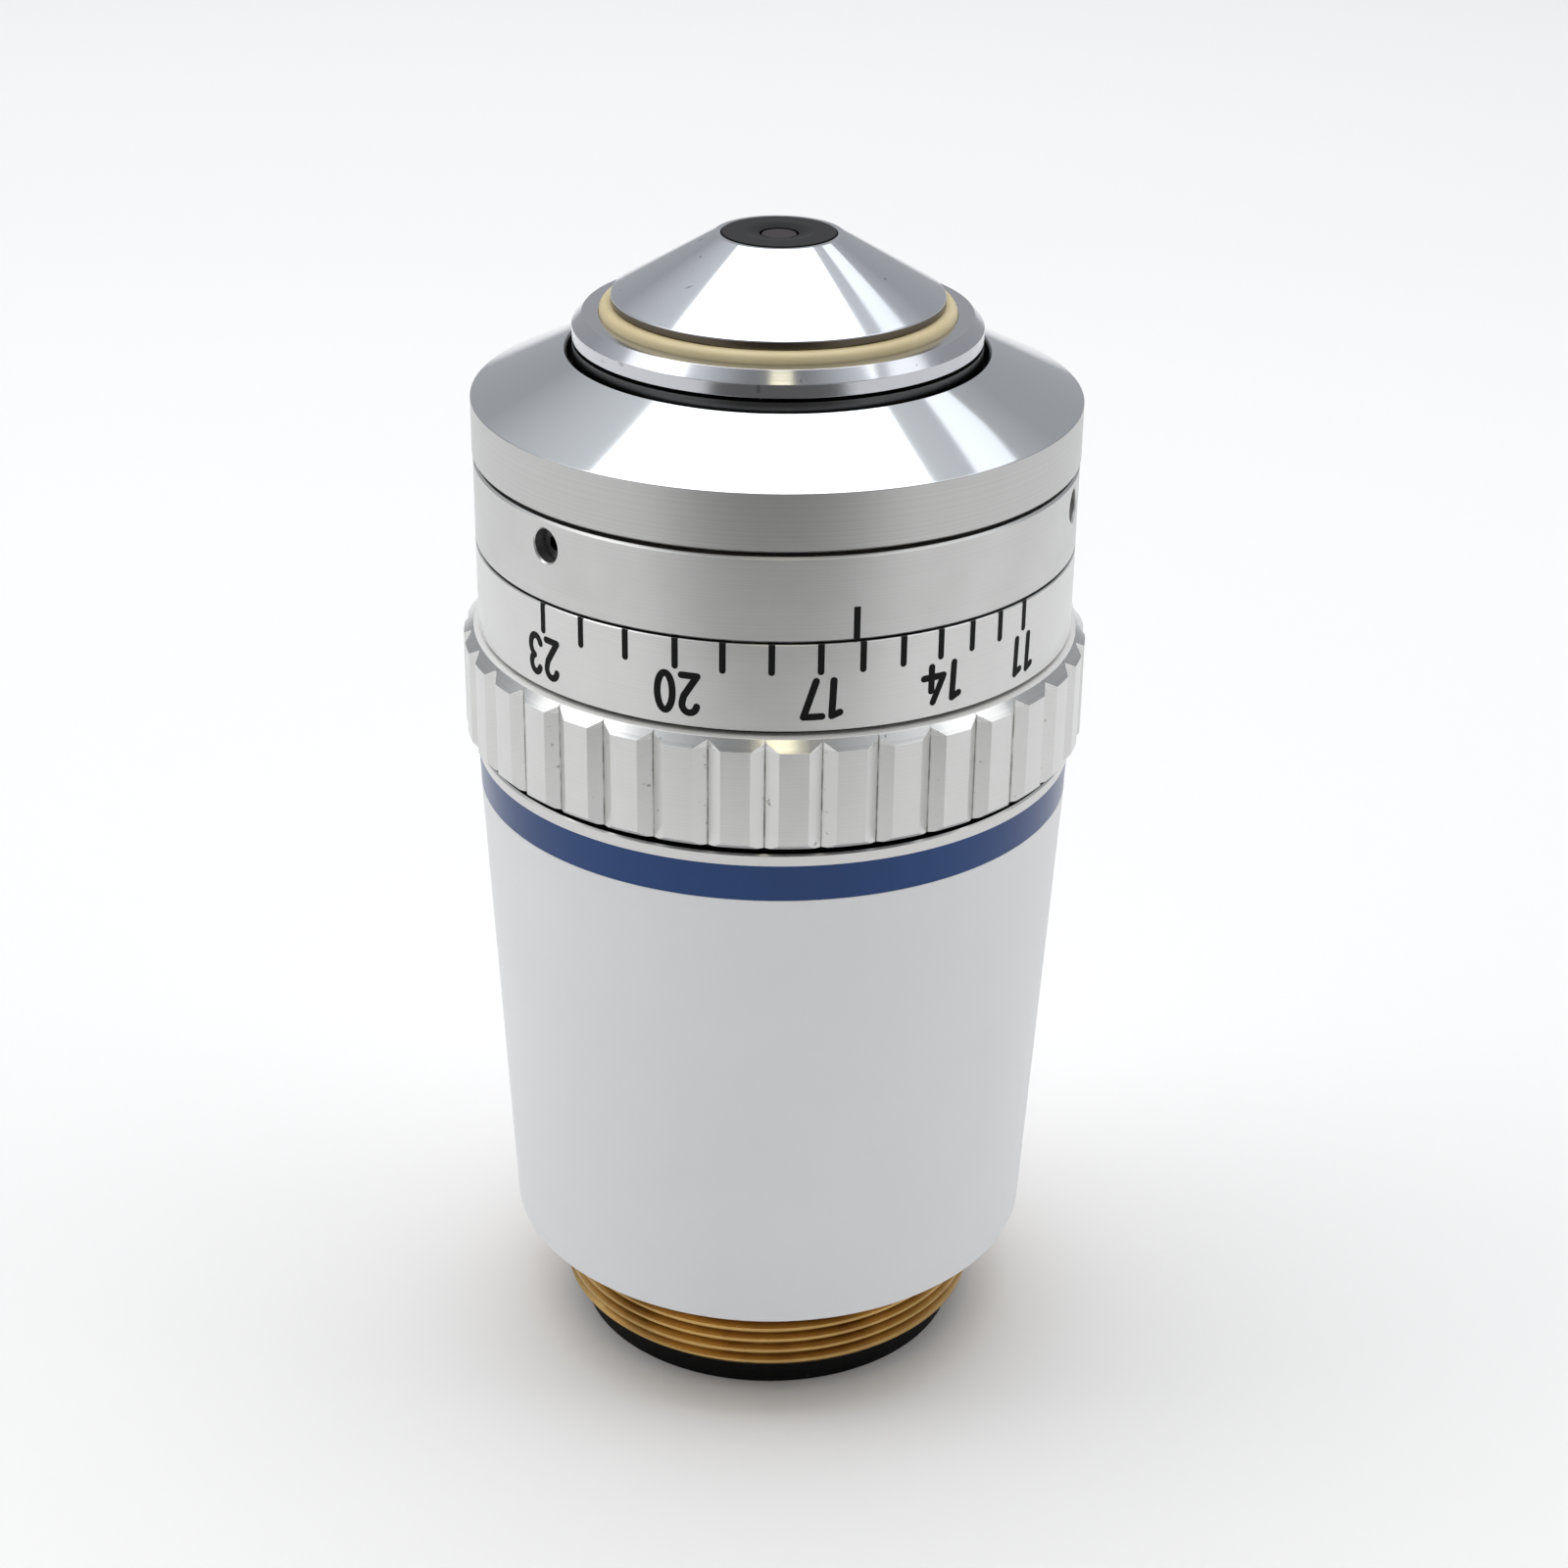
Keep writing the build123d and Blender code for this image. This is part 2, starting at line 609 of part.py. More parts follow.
def pin_slot():
    """Straight slot in the lens tube that lets the cam pin move along the axis only."""
    inner_r, outer_r, half_width = tube_bore_r - cut_margin, tube_r + cut_margin, cam_pin_r + slide_gap
    low_z, high_z = cam_pin_z - cell_travel_down - loose_gap, cam_pin_z + cell_travel_up + loose_gap
    slot = radial_block(2 * half_width, inner_r, outer_r, low_z, high_z, cam_azimuth)
    for z in (low_z, high_z):
        slot += radial_rod(half_width, inner_r, outer_r, z, cam_azimuth)
    return slot


def lens_tube():
    """Inner barrel that holds every lens and springs back when the nose meets the specimen."""
    counterbore_r, ledge_z = flange_spigot_r + seat_gap, stack_top_z - stack_ledge
    body = turned((tube_bore_r, tube_low_z), (tube_rear_r, tube_low_z), (tube_rear_r, guide_ring_top_z),
                  (tube_r, guide_ring_top_z), (tube_r, tube_step_z), (tube_front_r, tube_step_z),
                  (tube_front_r, tube_stop_z), (tube_neck_r, tube_stop_z), (tube_neck_r, tube_top_z),
                  (counterbore_r, tube_top_z), (counterbore_r, ledge_z), (tube_bore_r, ledge_z),
                  (tube_bore_r, doublet_low_z), (tube_lip_r, doublet_low_z), (tube_lip_r, front_lip_z),
                  (tube_bore_r, front_lip_z), (tube_bore_r, rear_lip_z + tube_lip_height),
                  (tube_lip_r, rear_lip_z + tube_lip_height), (tube_lip_r, rear_lip_z),
                  (tube_bore_r, rear_lip_z))
    return body - pin_slot()


def rear_guide_ring():
    """Bearing at the lens tube's rear end, with the slot that rides on the guide pin."""
    body = ring(tube_rear_r + seat_gap, guide_ring_r, guide_ring_low_z, guide_ring_top_z - seat_gap)
    width = 2 * (guide_pin_r + slide_gap)
    inner_r, outer_r = guide_ring_r - guide_slot_depth, guide_ring_r + cut_margin
    low_z, high_z = guide_ring_low_z - cut_margin, guide_ring_top_z + cut_margin
    return body - radial_block(width, inner_r, outer_r, low_z, high_z, cam_azimuth)


def nose_flange():
    """Chamfered ring screwed into the lens tube, which clamps the front lens stack."""
    bore_r, low_z = cone_spigot_r + seat_gap, tube_top_z + seat_gap
    seat_r, floor_z = seal_r + seat_gap, flange_top_z - seal_depth
    groove_r, clamp_z = flange_r - flange_groove_depth, stack_top_z + seat_gap
    return turned((bore_r, clamp_z), (flange_spigot_r, clamp_z), (flange_spigot_r, low_z), (groove_r, low_z),
                  (groove_r, flange_low_z), (flange_r, flange_low_z),
                  (flange_r, flange_top_z - flange_chamfer_height),
                  (flange_r - flange_chamfer_width, flange_top_z), (seat_r, flange_top_z),
                  (seat_r, floor_z), (bore_r, floor_z))


def nose_seal():
    """Soft ring between the flange and the cone."""
    body = ring(cone_spigot_r + seat_gap, seal_r, flange_top_z - seal_depth, cone_low_z - seat_gap)
    outer_edge = body.edges().group_by(Axis.Z)[-1].sort_by(SortBy.RADIUS)[-1]
    return fillet(outer_edge, seal_round)


def nose_cone():
    """Polished conical cap around the front cell."""
    face_z, hole_r, ledge_z = nose_z - face_step, face_r + face_hole_gap, nose_z - front_cell_neck
    well_r = front_cell_r + seat_gap
    return turned((cone_bore_r, cone_spigot_z), (cone_spigot_r, cone_spigot_z), (cone_spigot_r, cone_low_z),
                  (cone_low_r, cone_low_z), (cone_low_r, cone_rim_z), (cone_top_r, face_z), (hole_r, face_z),
                  (hole_r, ledge_z), (well_r, ledge_z), (well_r, cone_bore_top_z),
                  (cone_bore_r, cone_bore_top_z))


def front_cell():
    """Black cell whose end face surrounds the front lens."""
    top_z, shoulder = nose_z, nose_z - front_cell_neck - stop_gap
    dish_z, bore_r = nose_z - dish_depth, front_lens_r + slide_gap
    rim_z = meniscus_z + meniscus["thickness"] - meniscus["front_sag"] + seat_gap
    meniscus_r = meniscus["rim_r"] + seat_gap
    return turned((meniscus_r, front_cell_low_z), (front_cell_r, front_cell_low_z), (front_cell_r, shoulder),
                  (face_r, shoulder), (face_r, top_z), (dish_r, top_z), (dish_r - dish_depth, dish_z),
                  (front_lens_mouth_r, dish_z), (bore_r, dish_z - front_lens_taper), (bore_r, rim_z),
                  (meniscus_r, rim_z))


def front_lens():
    """Small ball-shaped front lens with a flat face."""
    face_z, seat = nose_z - front_lens_recess, (Align.CENTER, Align.CENTER, Align.MIN)
    flat = Pos(0, 0, face_z) * Cylinder(front_lens_r, front_lens_r, align=seat)
    return Pos(0, 0, front_lens_z) * Sphere(front_lens_r) - flat


def front_cell_nut():
    top_z = front_nut_z + front_nut_height
    return ring(cone_bore_r - front_nut_wall, cone_bore_r - seat_gap, front_nut_z, top_z)


def rear_nut():
    """Slotted ring that clamps the rear lens stack."""
    inner_r = cell_r - rear_nut_wall
    body = ring(inner_r, cell_r, rear_nut_z, rear_low_z)
    return body - Pos(0, 0, rear_nut_z) * Box(2 * cell_r, spanner_slot_width, rear_nut_height)


def correction_lock_ring():
    """Ring that holds the correction doublet down in its cell."""
    flint, crown = correction_flint, correction_crown
    crown_z = cemented_z(flint, seated_z(flint, seat_z(flint, correction_low_z, correction_floor)))
    inner_r = crown["rim_r"] - lock_ring_wall
    low_z = crown_z + crown["thickness"] - sag_at(crown["rim_r"], crown["front_sag"], inner_r) + seat_gap
    return ring(inner_r, crown["rim_r"], low_z, low_z + lock_ring_height)


def correction_cell():
    """Moving cell of the correction doublet, with the hole that holds the cam pin."""
    body = lens_cell(cell_r, correction_low_z, correction_cell_height, correction_flint, correction_floor)
    inner_r, outer_r = cell_r - cam_pin_seat - seat_gap, cell_r + cut_margin
    return body - radial_rod(cam_pin_r + seat_gap, inner_r, outer_r, cam_pin_z, cam_azimuth)


def main_spring():
    mean_r = (tube_rear_r + guide_bore_r) / 2
    return coil(mount_top_z, main_spring_length, mean_r, main_spring_wire, main_spring_turns)


def correction_spring():
    mean_r, length = (tube_lip_r + tube_bore_r) / 2, correction_spring_length
    return coil(correction_high_z, length, mean_r, correction_spring_wire, correction_spring_turns)


def barrel_nodes():
    screws = Compound(children=[set_screw(azimuth) for azimuth in set_screw_azimuths])
    return {
        "rear_ring": rear_ring(), "mount_thread": mount_thread(), "body_sleeve": body_sleeve(),
        "colour_band": colour_band(), "guide_tube": guide_tube(), "nose_guide_pin": guide_pin(),
        "index_ring": index_ring(), "index_set_screws": screws, "front_cover": front_cover(),
        "friction_washer": friction_washer(), "main_spring": main_spring(),
    }


def nose_nodes():
    nodes = {
        "lens_tube": lens_tube(), "rear_guide_ring": rear_guide_ring(), "nose_flange": nose_flange(),
        "nose_seal": nose_seal(), "nose_cone": nose_cone(), "front_cell": front_cell(),
        "front_lens": front_lens(), "meniscus_lens": lens(meniscus, meniscus_z),
        "front_cell_nut": front_cell_nut(),
        "second_cell": lens_cell(cone_bore_r - seat_gap, second_low_z, second_cell_height, second_lens),
        "second_lens": lens(second_lens, seated_z(second_lens, seat_z(second_lens, second_low_z))),
        "third_cell": lens_cell(cell_r, third_low_z, third_cell_height, third_lens),
        "third_lens": lens(third_lens, seated_z(third_lens, seat_z(third_lens, third_low_z))),
        "front_spacer": ring(cell_r - spacer_wall, cell_r, front_spacer_z, third_low_z),
        "doublet_cell": lens_cell(cell_r, doublet_low_z, doublet_cell_height, doublet_crown),
        "middle_cell": lens_cell(cell_r, middle_low_z, middle_cell_height, middle_crown),
        "rear_spacer": ring(cell_r - spacer_wall, cell_r, rear_spacer_z, middle_low_z),
        "rear_cell": lens_cell(cell_r, rear_low_z, rear_cell_height, rear_lens),
        "rear_lens": lens(rear_lens, seated_z(rear_lens, seat_z(rear_lens, rear_low_z))),
        "rear_retaining_nut": rear_nut(), "correction_spring": correction_spring(),
    }
    doublet(nodes, "doublet", ("crown", doublet_crown), ("flint", doublet_flint), doublet_low_z)
    doublet(nodes, "middle", ("crown", middle_crown), ("flint", middle_flint), middle_low_z)
    return nodes


def correction_nodes():
    nodes = {
        "correction_cell": correction_cell(), "correction_lock_ring": correction_lock_ring(),
        "cam_pin": cam_pin(),
    }
    flint, crown = ("flint", correction_flint), ("crown", correction_crown)
    doublet(nodes, "correction", flint, crown, correction_low_z, correction_floor)
    return nodes


collar_nodes = {"correction_collar": correction_collar(), "drive_key": drive_key()}
nodes = barrel_nodes() | collar_nodes | nose_nodes() | {"cam_ring": cam_ring()} | correction_nodes()
for name, solid in nodes.items():
    solid.label = name
    export_step(solid, f"parts/{name}.step")
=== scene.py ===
import json
from math import asin, ceil, cos, pi, radians, sin

import bmesh
import bpy
from mathutils import Matrix, Vector


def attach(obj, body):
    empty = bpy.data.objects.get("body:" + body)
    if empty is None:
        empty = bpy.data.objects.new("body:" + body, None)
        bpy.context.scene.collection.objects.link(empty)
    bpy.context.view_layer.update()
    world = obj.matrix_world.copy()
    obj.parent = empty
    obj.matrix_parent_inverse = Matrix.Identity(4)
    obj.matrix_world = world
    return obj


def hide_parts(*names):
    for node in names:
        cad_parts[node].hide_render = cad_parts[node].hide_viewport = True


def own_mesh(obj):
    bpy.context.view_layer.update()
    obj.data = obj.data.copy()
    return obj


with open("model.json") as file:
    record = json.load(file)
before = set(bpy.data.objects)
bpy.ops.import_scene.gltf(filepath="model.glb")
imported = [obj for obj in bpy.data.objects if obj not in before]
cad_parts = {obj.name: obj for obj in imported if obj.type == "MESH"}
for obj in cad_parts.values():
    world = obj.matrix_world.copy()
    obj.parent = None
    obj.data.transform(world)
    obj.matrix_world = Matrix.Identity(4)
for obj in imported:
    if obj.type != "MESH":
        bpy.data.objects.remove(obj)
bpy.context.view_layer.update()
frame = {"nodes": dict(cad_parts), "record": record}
print("frame loaded:", len(frame["nodes"]), "nodes")

mm = 0.001


# node trees, for materials and for Geometry Nodes

class Wire:
    # an output socket; sums on it add Math nodes
    def __init__(self, wires, socket):
        self.wires, self.socket = wires, socket

    def __add__(self, other):
        return self.wires.sum("ADD", self, other)

    def __radd__(self, other):
        return self.wires.sum("ADD", other, self)

    def __sub__(self, other):
        return self.wires.sum("SUBTRACT", self, other)

    def __rsub__(self, other):
        return self.wires.sum("SUBTRACT", other, self)

    def __mul__(self, other):
        return self.wires.sum("MULTIPLY", self, other)

    def __rmul__(self, other):
        return self.wires.sum("MULTIPLY", other, self)

    def __truediv__(self, other):
        return self.wires.sum("DIVIDE", self, other)

    def __rtruediv__(self, other):
        return self.wires.sum("DIVIDE", other, self)


class Wires:
    # a node tree; every node comes in through node()
    def __init__(self, tree):
        self.tree = tree

    def node(self, kind, settings=None, inputs=None, output=0):
        made = self.tree.nodes.new(kind)
        for name, value in (settings or {}).items():
            setattr(made, name, value)
        for name, value in (inputs or {}).items():
            if isinstance(value, Wire):
                self.tree.links.new(value.socket, made.inputs[name])
            else:
                made.inputs[name].default_value = value
        if isinstance(output, tuple):
            return [Wire(self, made.outputs[name]) for name in output]
        return Wire(self, made.outputs[output]) if made.outputs else None

    def sum(self, operation, *values):
        return self.node("ShaderNodeMath", {"operation": operation}, dict(enumerate(values)))

    def clamped(self, value, low, high):
        # 0 below low, 1 above high, straight between them
        return self.node("ShaderNodeMapRange", {"clamp": True}, {0: value, 1: low, 2: high, 3: 0.0, 4: 1.0})

    def mixed(self, factor, first, second):
        inputs = {0: factor, 6: colour4(first), 7: colour4(second)}
        return self.node("ShaderNodeMix", {"data_type": "RGBA"}, inputs, output=2)


def colour4(colour):
    return colour if isinstance(colour, Wire) else (*colour, 1.0)


def emptyMaterial(name):
    made = bpy.data.materials.new(name)
    made.use_nodes = True
    made.node_tree.nodes.clear()
    return made, Wires(made.node_tree)


def material(name, recipe, look):
    made, wires = emptyMaterial(name)
    surface = wires.node("ShaderNodeBsdfPrincipled", {}, recipe(wires, look))
    wires.node("ShaderNodeOutputMaterial", {}, {"Surface": surface})
    return made


def objectPlace(wires):
    return wires.node("ShaderNodeTexCoord", output="Object")


def axes(wires, place):
    return wires.node("ShaderNodeSeparateXYZ", {}, {0: place}, output=("X", "Y", "Z"))


def axisPlace(wires):
    # the place itself, and in millimetres its radius from the optical axis and its height
    place = objectPlace(wires)
    x, y, z = axes(wires, place)
    return place, wires.sum("SQRT", x * x + y * y) / mm, z / mm


def azimuthOf(wires, x, y):
    # the angle round the optical axis from the front, in radians
    return wires.sum("ARCTAN2", x, 0.0 - y)


def noise(wires, place, scale, detail=2.0):
    inputs = {"Vector": place, "Scale": scale, "Detail": detail}
    return wires.node("ShaderNodeTexNoise", {"noise_dimensions": "3D"}, inputs)


def patches(wires, place, scale, detail, low, high):
    # spots of 1 where the noise is high, nothing elsewhere
    return wires.clamped(noise(wires, place, scale, detail), low, high)


def lines(wires, along, perMm):
    # turning marks: a noise that changes along the profile only
    inputs = {"W": along, "Scale": perMm, "Detail": 3.0, "Roughness": 0.6}
    return wires.node("ShaderNodeTexNoise", {"noise_dimensions": "1D"}, inputs)


def profile(radius, z):
    # a length that grows up a wall and, a little slower, across a face
    return z + radius * 0.83


def bump(wires, height, depth):
    return wires.node("ShaderNodeBump", {}, {"Height": height, "Distance": depth * mm, "Strength": 1.0})


# finishes

def turnedMetal(wires, look):
    place, radius, z = axisPlace(wires)
    along = profile(radius, z)
    marks = lines(wires, along, look["marksPerMm"])
    broad = lines(wires, along, look["marksPerMm"] / 7)
    cloud = noise(wires, place, 260.0)
    smudge = patches(wires, place, 75.0, 4.0, 0.5, 0.72)
    tone = wires.clamped(marks * 0.6 + cloud * 0.4, 0.25, 0.75)
    colour = wires.mixed(tone, look["dark"], look["light"])
    rough = look["roughness"] + (broad - 0.5) * look["roughSpread"] + smudge * look["smudge"]
    return {
        "Base Color": wires.mixed(smudge * 0.25, colour, look["dark"]), "Metallic": 1.0, "Roughness": rough,
        "Normal": bump(wires, marks * 0.7 + broad * 0.3, look["depth"]),
    }


def coverMetal(wires, look):
    # one piece, two finishes: polished above the cone's edge, satin below it
    place, radius, z = axisPlace(wires)
    cone = wires.clamped(z, look["edge"] - 0.02, look["edge"] + 0.02)
    along = profile(radius, z)
    marks = lines(wires, along, look["marksPerMm"])
    smudge = patches(wires, place, 75.0, 4.0, 0.5, 0.72)
    # painted shade: the wall of the hole, in the narrow gap round the flange, is painted near black and not
    # metallic
    hole = wires.clamped(radius, look["holeRadius"] + 0.08, look["holeRadius"] + 0.04)
    satin = wires.mixed(wires.clamped(marks, 0.3, 0.7), look["dark"], look["light"])
    colour = wires.mixed(cone, satin, look["polish"])
    depth = marks * (1.0 - cone * 0.97)
    rough = look["roughness"] * (1.0 - cone) + (look["polishRoughness"] + smudge * 0.03) * cone
    return {
        "Base Color": wires.mixed(hole, colour, look["hole"]), "Metallic": 1.0 - hole,
        "Roughness": rough + hole * 0.5, "Normal": bump(wires, depth, look["depth"]),
    }


def polishedMetal(wires, look):
    place, radius, z = axisPlace(wires)
    marks = lines(wires, profile(radius, z), look["marksPerMm"])
    smudge = patches(wires, place, 90.0, 5.0, 0.48, 0.75)
    specks = patches(wires, place, 1500.0, 1.0, 0.74, 0.78)
    colour = wires.mixed(smudge * 0.3, look["light"], look["dark"])
    # painted shade: between two heights the colour goes dark and rougher
    paintedShade = wires.clamped(z, look["paintedShadeLow"], look["paintedShadeLow"] + 0.02)
    paintedShade = paintedShade * wires.clamped(z, look["paintedShadeTop"], look["paintedShadeTop"] - 0.03)
    edged = wires.mixed(paintedShade, colour, look["paintedShade"])
    return {
        "Base Color": wires.mixed(specks * 0.5, edged, look["speck"]), "Metallic": 1.0,
        "Roughness": look["roughness"] + smudge * look["smudge"] + paintedShade * 0.2,
        "Normal": bump(wires, marks, look["depth"]),
    }


def gripMetal(wires, look):
    # satin metal, darker along the bottoms of the grooves
    place, radius, z = axisPlace(wires)
    marks = lines(wires, profile(radius, z), look["marksPerMm"])
    cloud = noise(wires, place, 320.0)
    x, y, _ = axes(wires, place)
    azimuth = azimuthOf(wires, x, y) * (180 / pi)
    turns = (azimuth - look["firstGroove"]) * (look["grooves"] / 360)
    offset = wires.sum("ABSOLUTE", wires.sum("FRACT", turns + 36.5) - 0.5) * (360 / look["grooves"])
    onGrip = wires.clamped(z, look["gripTop"] + 0.05, look["gripTop"] - 0.1)
    patchy = patches(wires, place, 900.0, 3.0, 0.36, 0.6)
    # a darker colour along the bottoms of the grooves, uneven in patches
    grooveDark = (1.0 - wires.clamped(offset, 0.04, 0.24)) * onGrip * (0.25 + patchy * 0.6)
    nicks = patches(wires, place, 2300.0, 2.0, 0.68, 0.74)
    nicks = nicks * (1.0 - wires.clamped(offset, 0.9, 2.2)) * onGrip
    # painted shadow: the collar's underside and the neck of the undercut go near black
    under = 1.0 - wires.clamped(z, look["low"] + 0.01, look["low"] + 0.04)
    neck = wires.clamped(radius, look["undercut"] + 0.12, look["undercut"] + 0.06)
    # painted highlight: the shoulder under the scale gets a near-white, rougher colour
    shoulder = wires.clamped(z, look["gripTop"] - 0.02, look["gripTop"])
    shoulder = shoulder * wires.clamped(z, look["scaleLow"] - 0.02, look["scaleLow"] - 0.05)
    chamfer = wires.clamped(z, look["gripTop"] - look["chamfer"], look["gripTop"] - look["chamfer"] + 0.04)
    chamfer = chamfer * wires.clamped(z, look["gripTop"] - 0.01, look["gripTop"] - 0.03)
    colour = wires.mixed(wires.clamped(marks * 0.6 + cloud * 0.4, 0.25, 0.75), look["dark"], look["light"])
    darkenedAndNicked = wires.mixed(wires.sum("MAXIMUM", grooveDark, nicks * 0.6), colour, look["grooveDark"])
    bright = wires.mixed(shoulder, darkenedAndNicked, look["shoulder"])
    rough = look["roughness"] + grooveDark * 0.3 + (cloud - 0.5) * look["roughSpread"]
    return {
        "Base Color": wires.mixed(wires.sum("MAXIMUM", under, neck), bright, look["paintedShadow"]),
        "Metallic": 1.0 - grooveDark * 0.5,
        "Roughness": rough - chamfer * 0.14 + shoulder * 0.3,
        "Normal": bump(wires, marks * 0.8 - nicks * 0.4, look["depth"]),
    }


def mattMetal(wires, look):
    # plated and blasted: a fine even grain, no turning marks left
    place, _, z = axisPlace(wires)
    grain = noise(wires, place, 9000.0, 2.0)
    cloud = noise(wires, place, 60.0, 3.0)
    wear = patches(wires, place, 380.0, 4.0, 0.62, 0.7)
    low = 1.0 - wires.clamped(z, look["lowEdge"] + 0.1, look["lowEdge"] + 0.6)
    collar = wires.clamped(z, look["satinLow"], look["satinLow"] + 0.02)
    # painted shadow: the sleeve's top face, in the gap under the collar, goes near black
    paintedShadow = wires.clamped(z, look["top"] - 0.02, look["top"] - 0.01)
    colour = wires.mixed(wires.clamped(cloud, 0.3, 0.7), look["dark"], look["light"])
    edged = wires.mixed(collar, wires.mixed(wear * low * 0.4, colour, look["worn"]), look["satin"])
    return {
        "Base Color": wires.mixed(paintedShadow, edged, look["paintedShadow"]),
        "Metallic": look["metallic"] + collar * 0.85,
        "Roughness": look["roughness"] + (cloud - 0.5) * 0.06 - wear * low * 0.15 - collar * 0.16,
        "Normal": bump(wires, grain, look["depth"]),
    }


def tarnishedBrass(wires, look):
    place, radius, z = axisPlace(wires)
    marks = lines(wires, profile(radius, z), look["marksPerMm"])
    cloud = noise(wires, place, 180.0, 4.0)
    root = 1.0 - wires.clamped(radius, look["crest"] - look["rootDepth"], look["crest"] - 0.05)
    tarnish = wires.clamped(cloud * 0.7 + root * 0.35, 0.3, 0.75)
    return {
        "Base Color": wires.mixed(tarnish, look["light"], look["dark"]), "Metallic": 1.0,
        "Roughness": look["roughness"] + tarnish * 0.18,
        "Normal": bump(wires, marks, look["depth"]),
    }


def blackFinish(wires, look):
    place, radius, z = axisPlace(wires)
    marks = lines(wires, profile(radius, z), look["marksPerMm"])
    grain = noise(wires, place, 6000.0, 2.0)
    dust = patches(wires, place, 2600.0, 1.0, 0.72, 0.78)
    colour = wires.mixed(wires.clamped(marks, 0.3, 0.7), look["dark"], look["light"])
    return {
        "Base Color": wires.mixed(dust * 0.3, colour, look["dust"]), "Metallic": 0.0,
        "Roughness": look["roughness"] + (grain - 0.5) * 0.12, "Specular IOR Level": look["gloss"],
        "Normal": bump(wires, marks * 0.6 + grain * 0.4, look["depth"]),
    }


def faceFinish(wires, look):
    # the front cell's face: grey-black, darker towards the lens and at its edge
    place, radius, _ = axisPlace(wires)
    marks = lines(wires, radius, look["marksPerMm"])
    grain = noise(wires, place, 6000.0, 2.0)
    inner = 1.0 - wires.clamped(radius, look["mouth"], look["mouth"] * 1.9)
    edge = wires.clamped(radius, look["edge"] - 0.08, look["edge"] - 0.03)
    colour = wires.mixed(wires.clamped(marks, 0.3, 0.7), look["dark"], look["light"])
    return {
        "Base Color": wires.mixed(wires.sum("MAXIMUM", inner, edge), colour, look["deep"]), "Metallic": 0.0,
        "Roughness": look["roughness"] + (grain - 0.5) * 0.1, "Specular IOR Level": look["gloss"],
        "Normal": bump(wires, marks * 0.6 + grain * 0.4, look["depth"]),
    }


def enamel(wires, look):
    place = objectPlace(wires)
    cloud = noise(wires, place, 140.0, 3.0)
    ripple = noise(wires, place, 700.0, 2.0)
    return {
        "Base Color": wires.mixed(wires.clamped(cloud, 0.3, 0.7), look["dark"], look["light"]),
        "Roughness": look["roughness"] + (cloud - 0.5) * 0.08, "Normal": bump(wires, ripple, look["depth"]),
        "Specular IOR Level": 0.25, "Coat Weight": 0.2, "Coat Roughness": 0.06,
    }


def softRing(wires, look):
    place = objectPlace(wires)
    cloud = noise(wires, place, 160.0, 3.0)
    grain = noise(wires, place, 5000.0, 2.0)
    return {
        "Base Color": wires.mixed(wires.clamped(cloud, 0.3, 0.7), look["dark"], look["light"]),
        "Roughness": look["roughness"] + (grain - 0.5) * 0.1, "Subsurface Weight": 0.15,
        "Subsurface Radius": (0.6 * mm, 0.45 * mm, 0.3 * mm), "Normal": bump(wires, grain, look["depth"]),
    }


def coatedGlass(wires, look):
    place = objectPlace(wires)
    sheen = wires.node("ShaderNodeLayerWeight", {}, {"Blend": 0.35}, output="Facing")
    smear = patches(wires, place, 900.0, 3.0, 0.45, 0.7)
    return {
        "Base Color": wires.mixed(sheen, look["coating"], look["body"]),
        "Roughness": look["roughness"] + smear * 0.03, "IOR": 1.2, "Transmission Weight": 0.3,
        "Normal": bump(wires, smear, 0.0005),
    }


def inkFill(wires, look):
    place = objectPlace(wires)
    grain = noise(wires, place, 5000.0, 2.0)
    return {
        "Base Color": wires.mixed(grain, look["dark"], look["light"]), "Roughness": look["roughness"],
        "Specular IOR Level": 0.15, "Normal": bump(wires, grain, look["depth"]),
    }


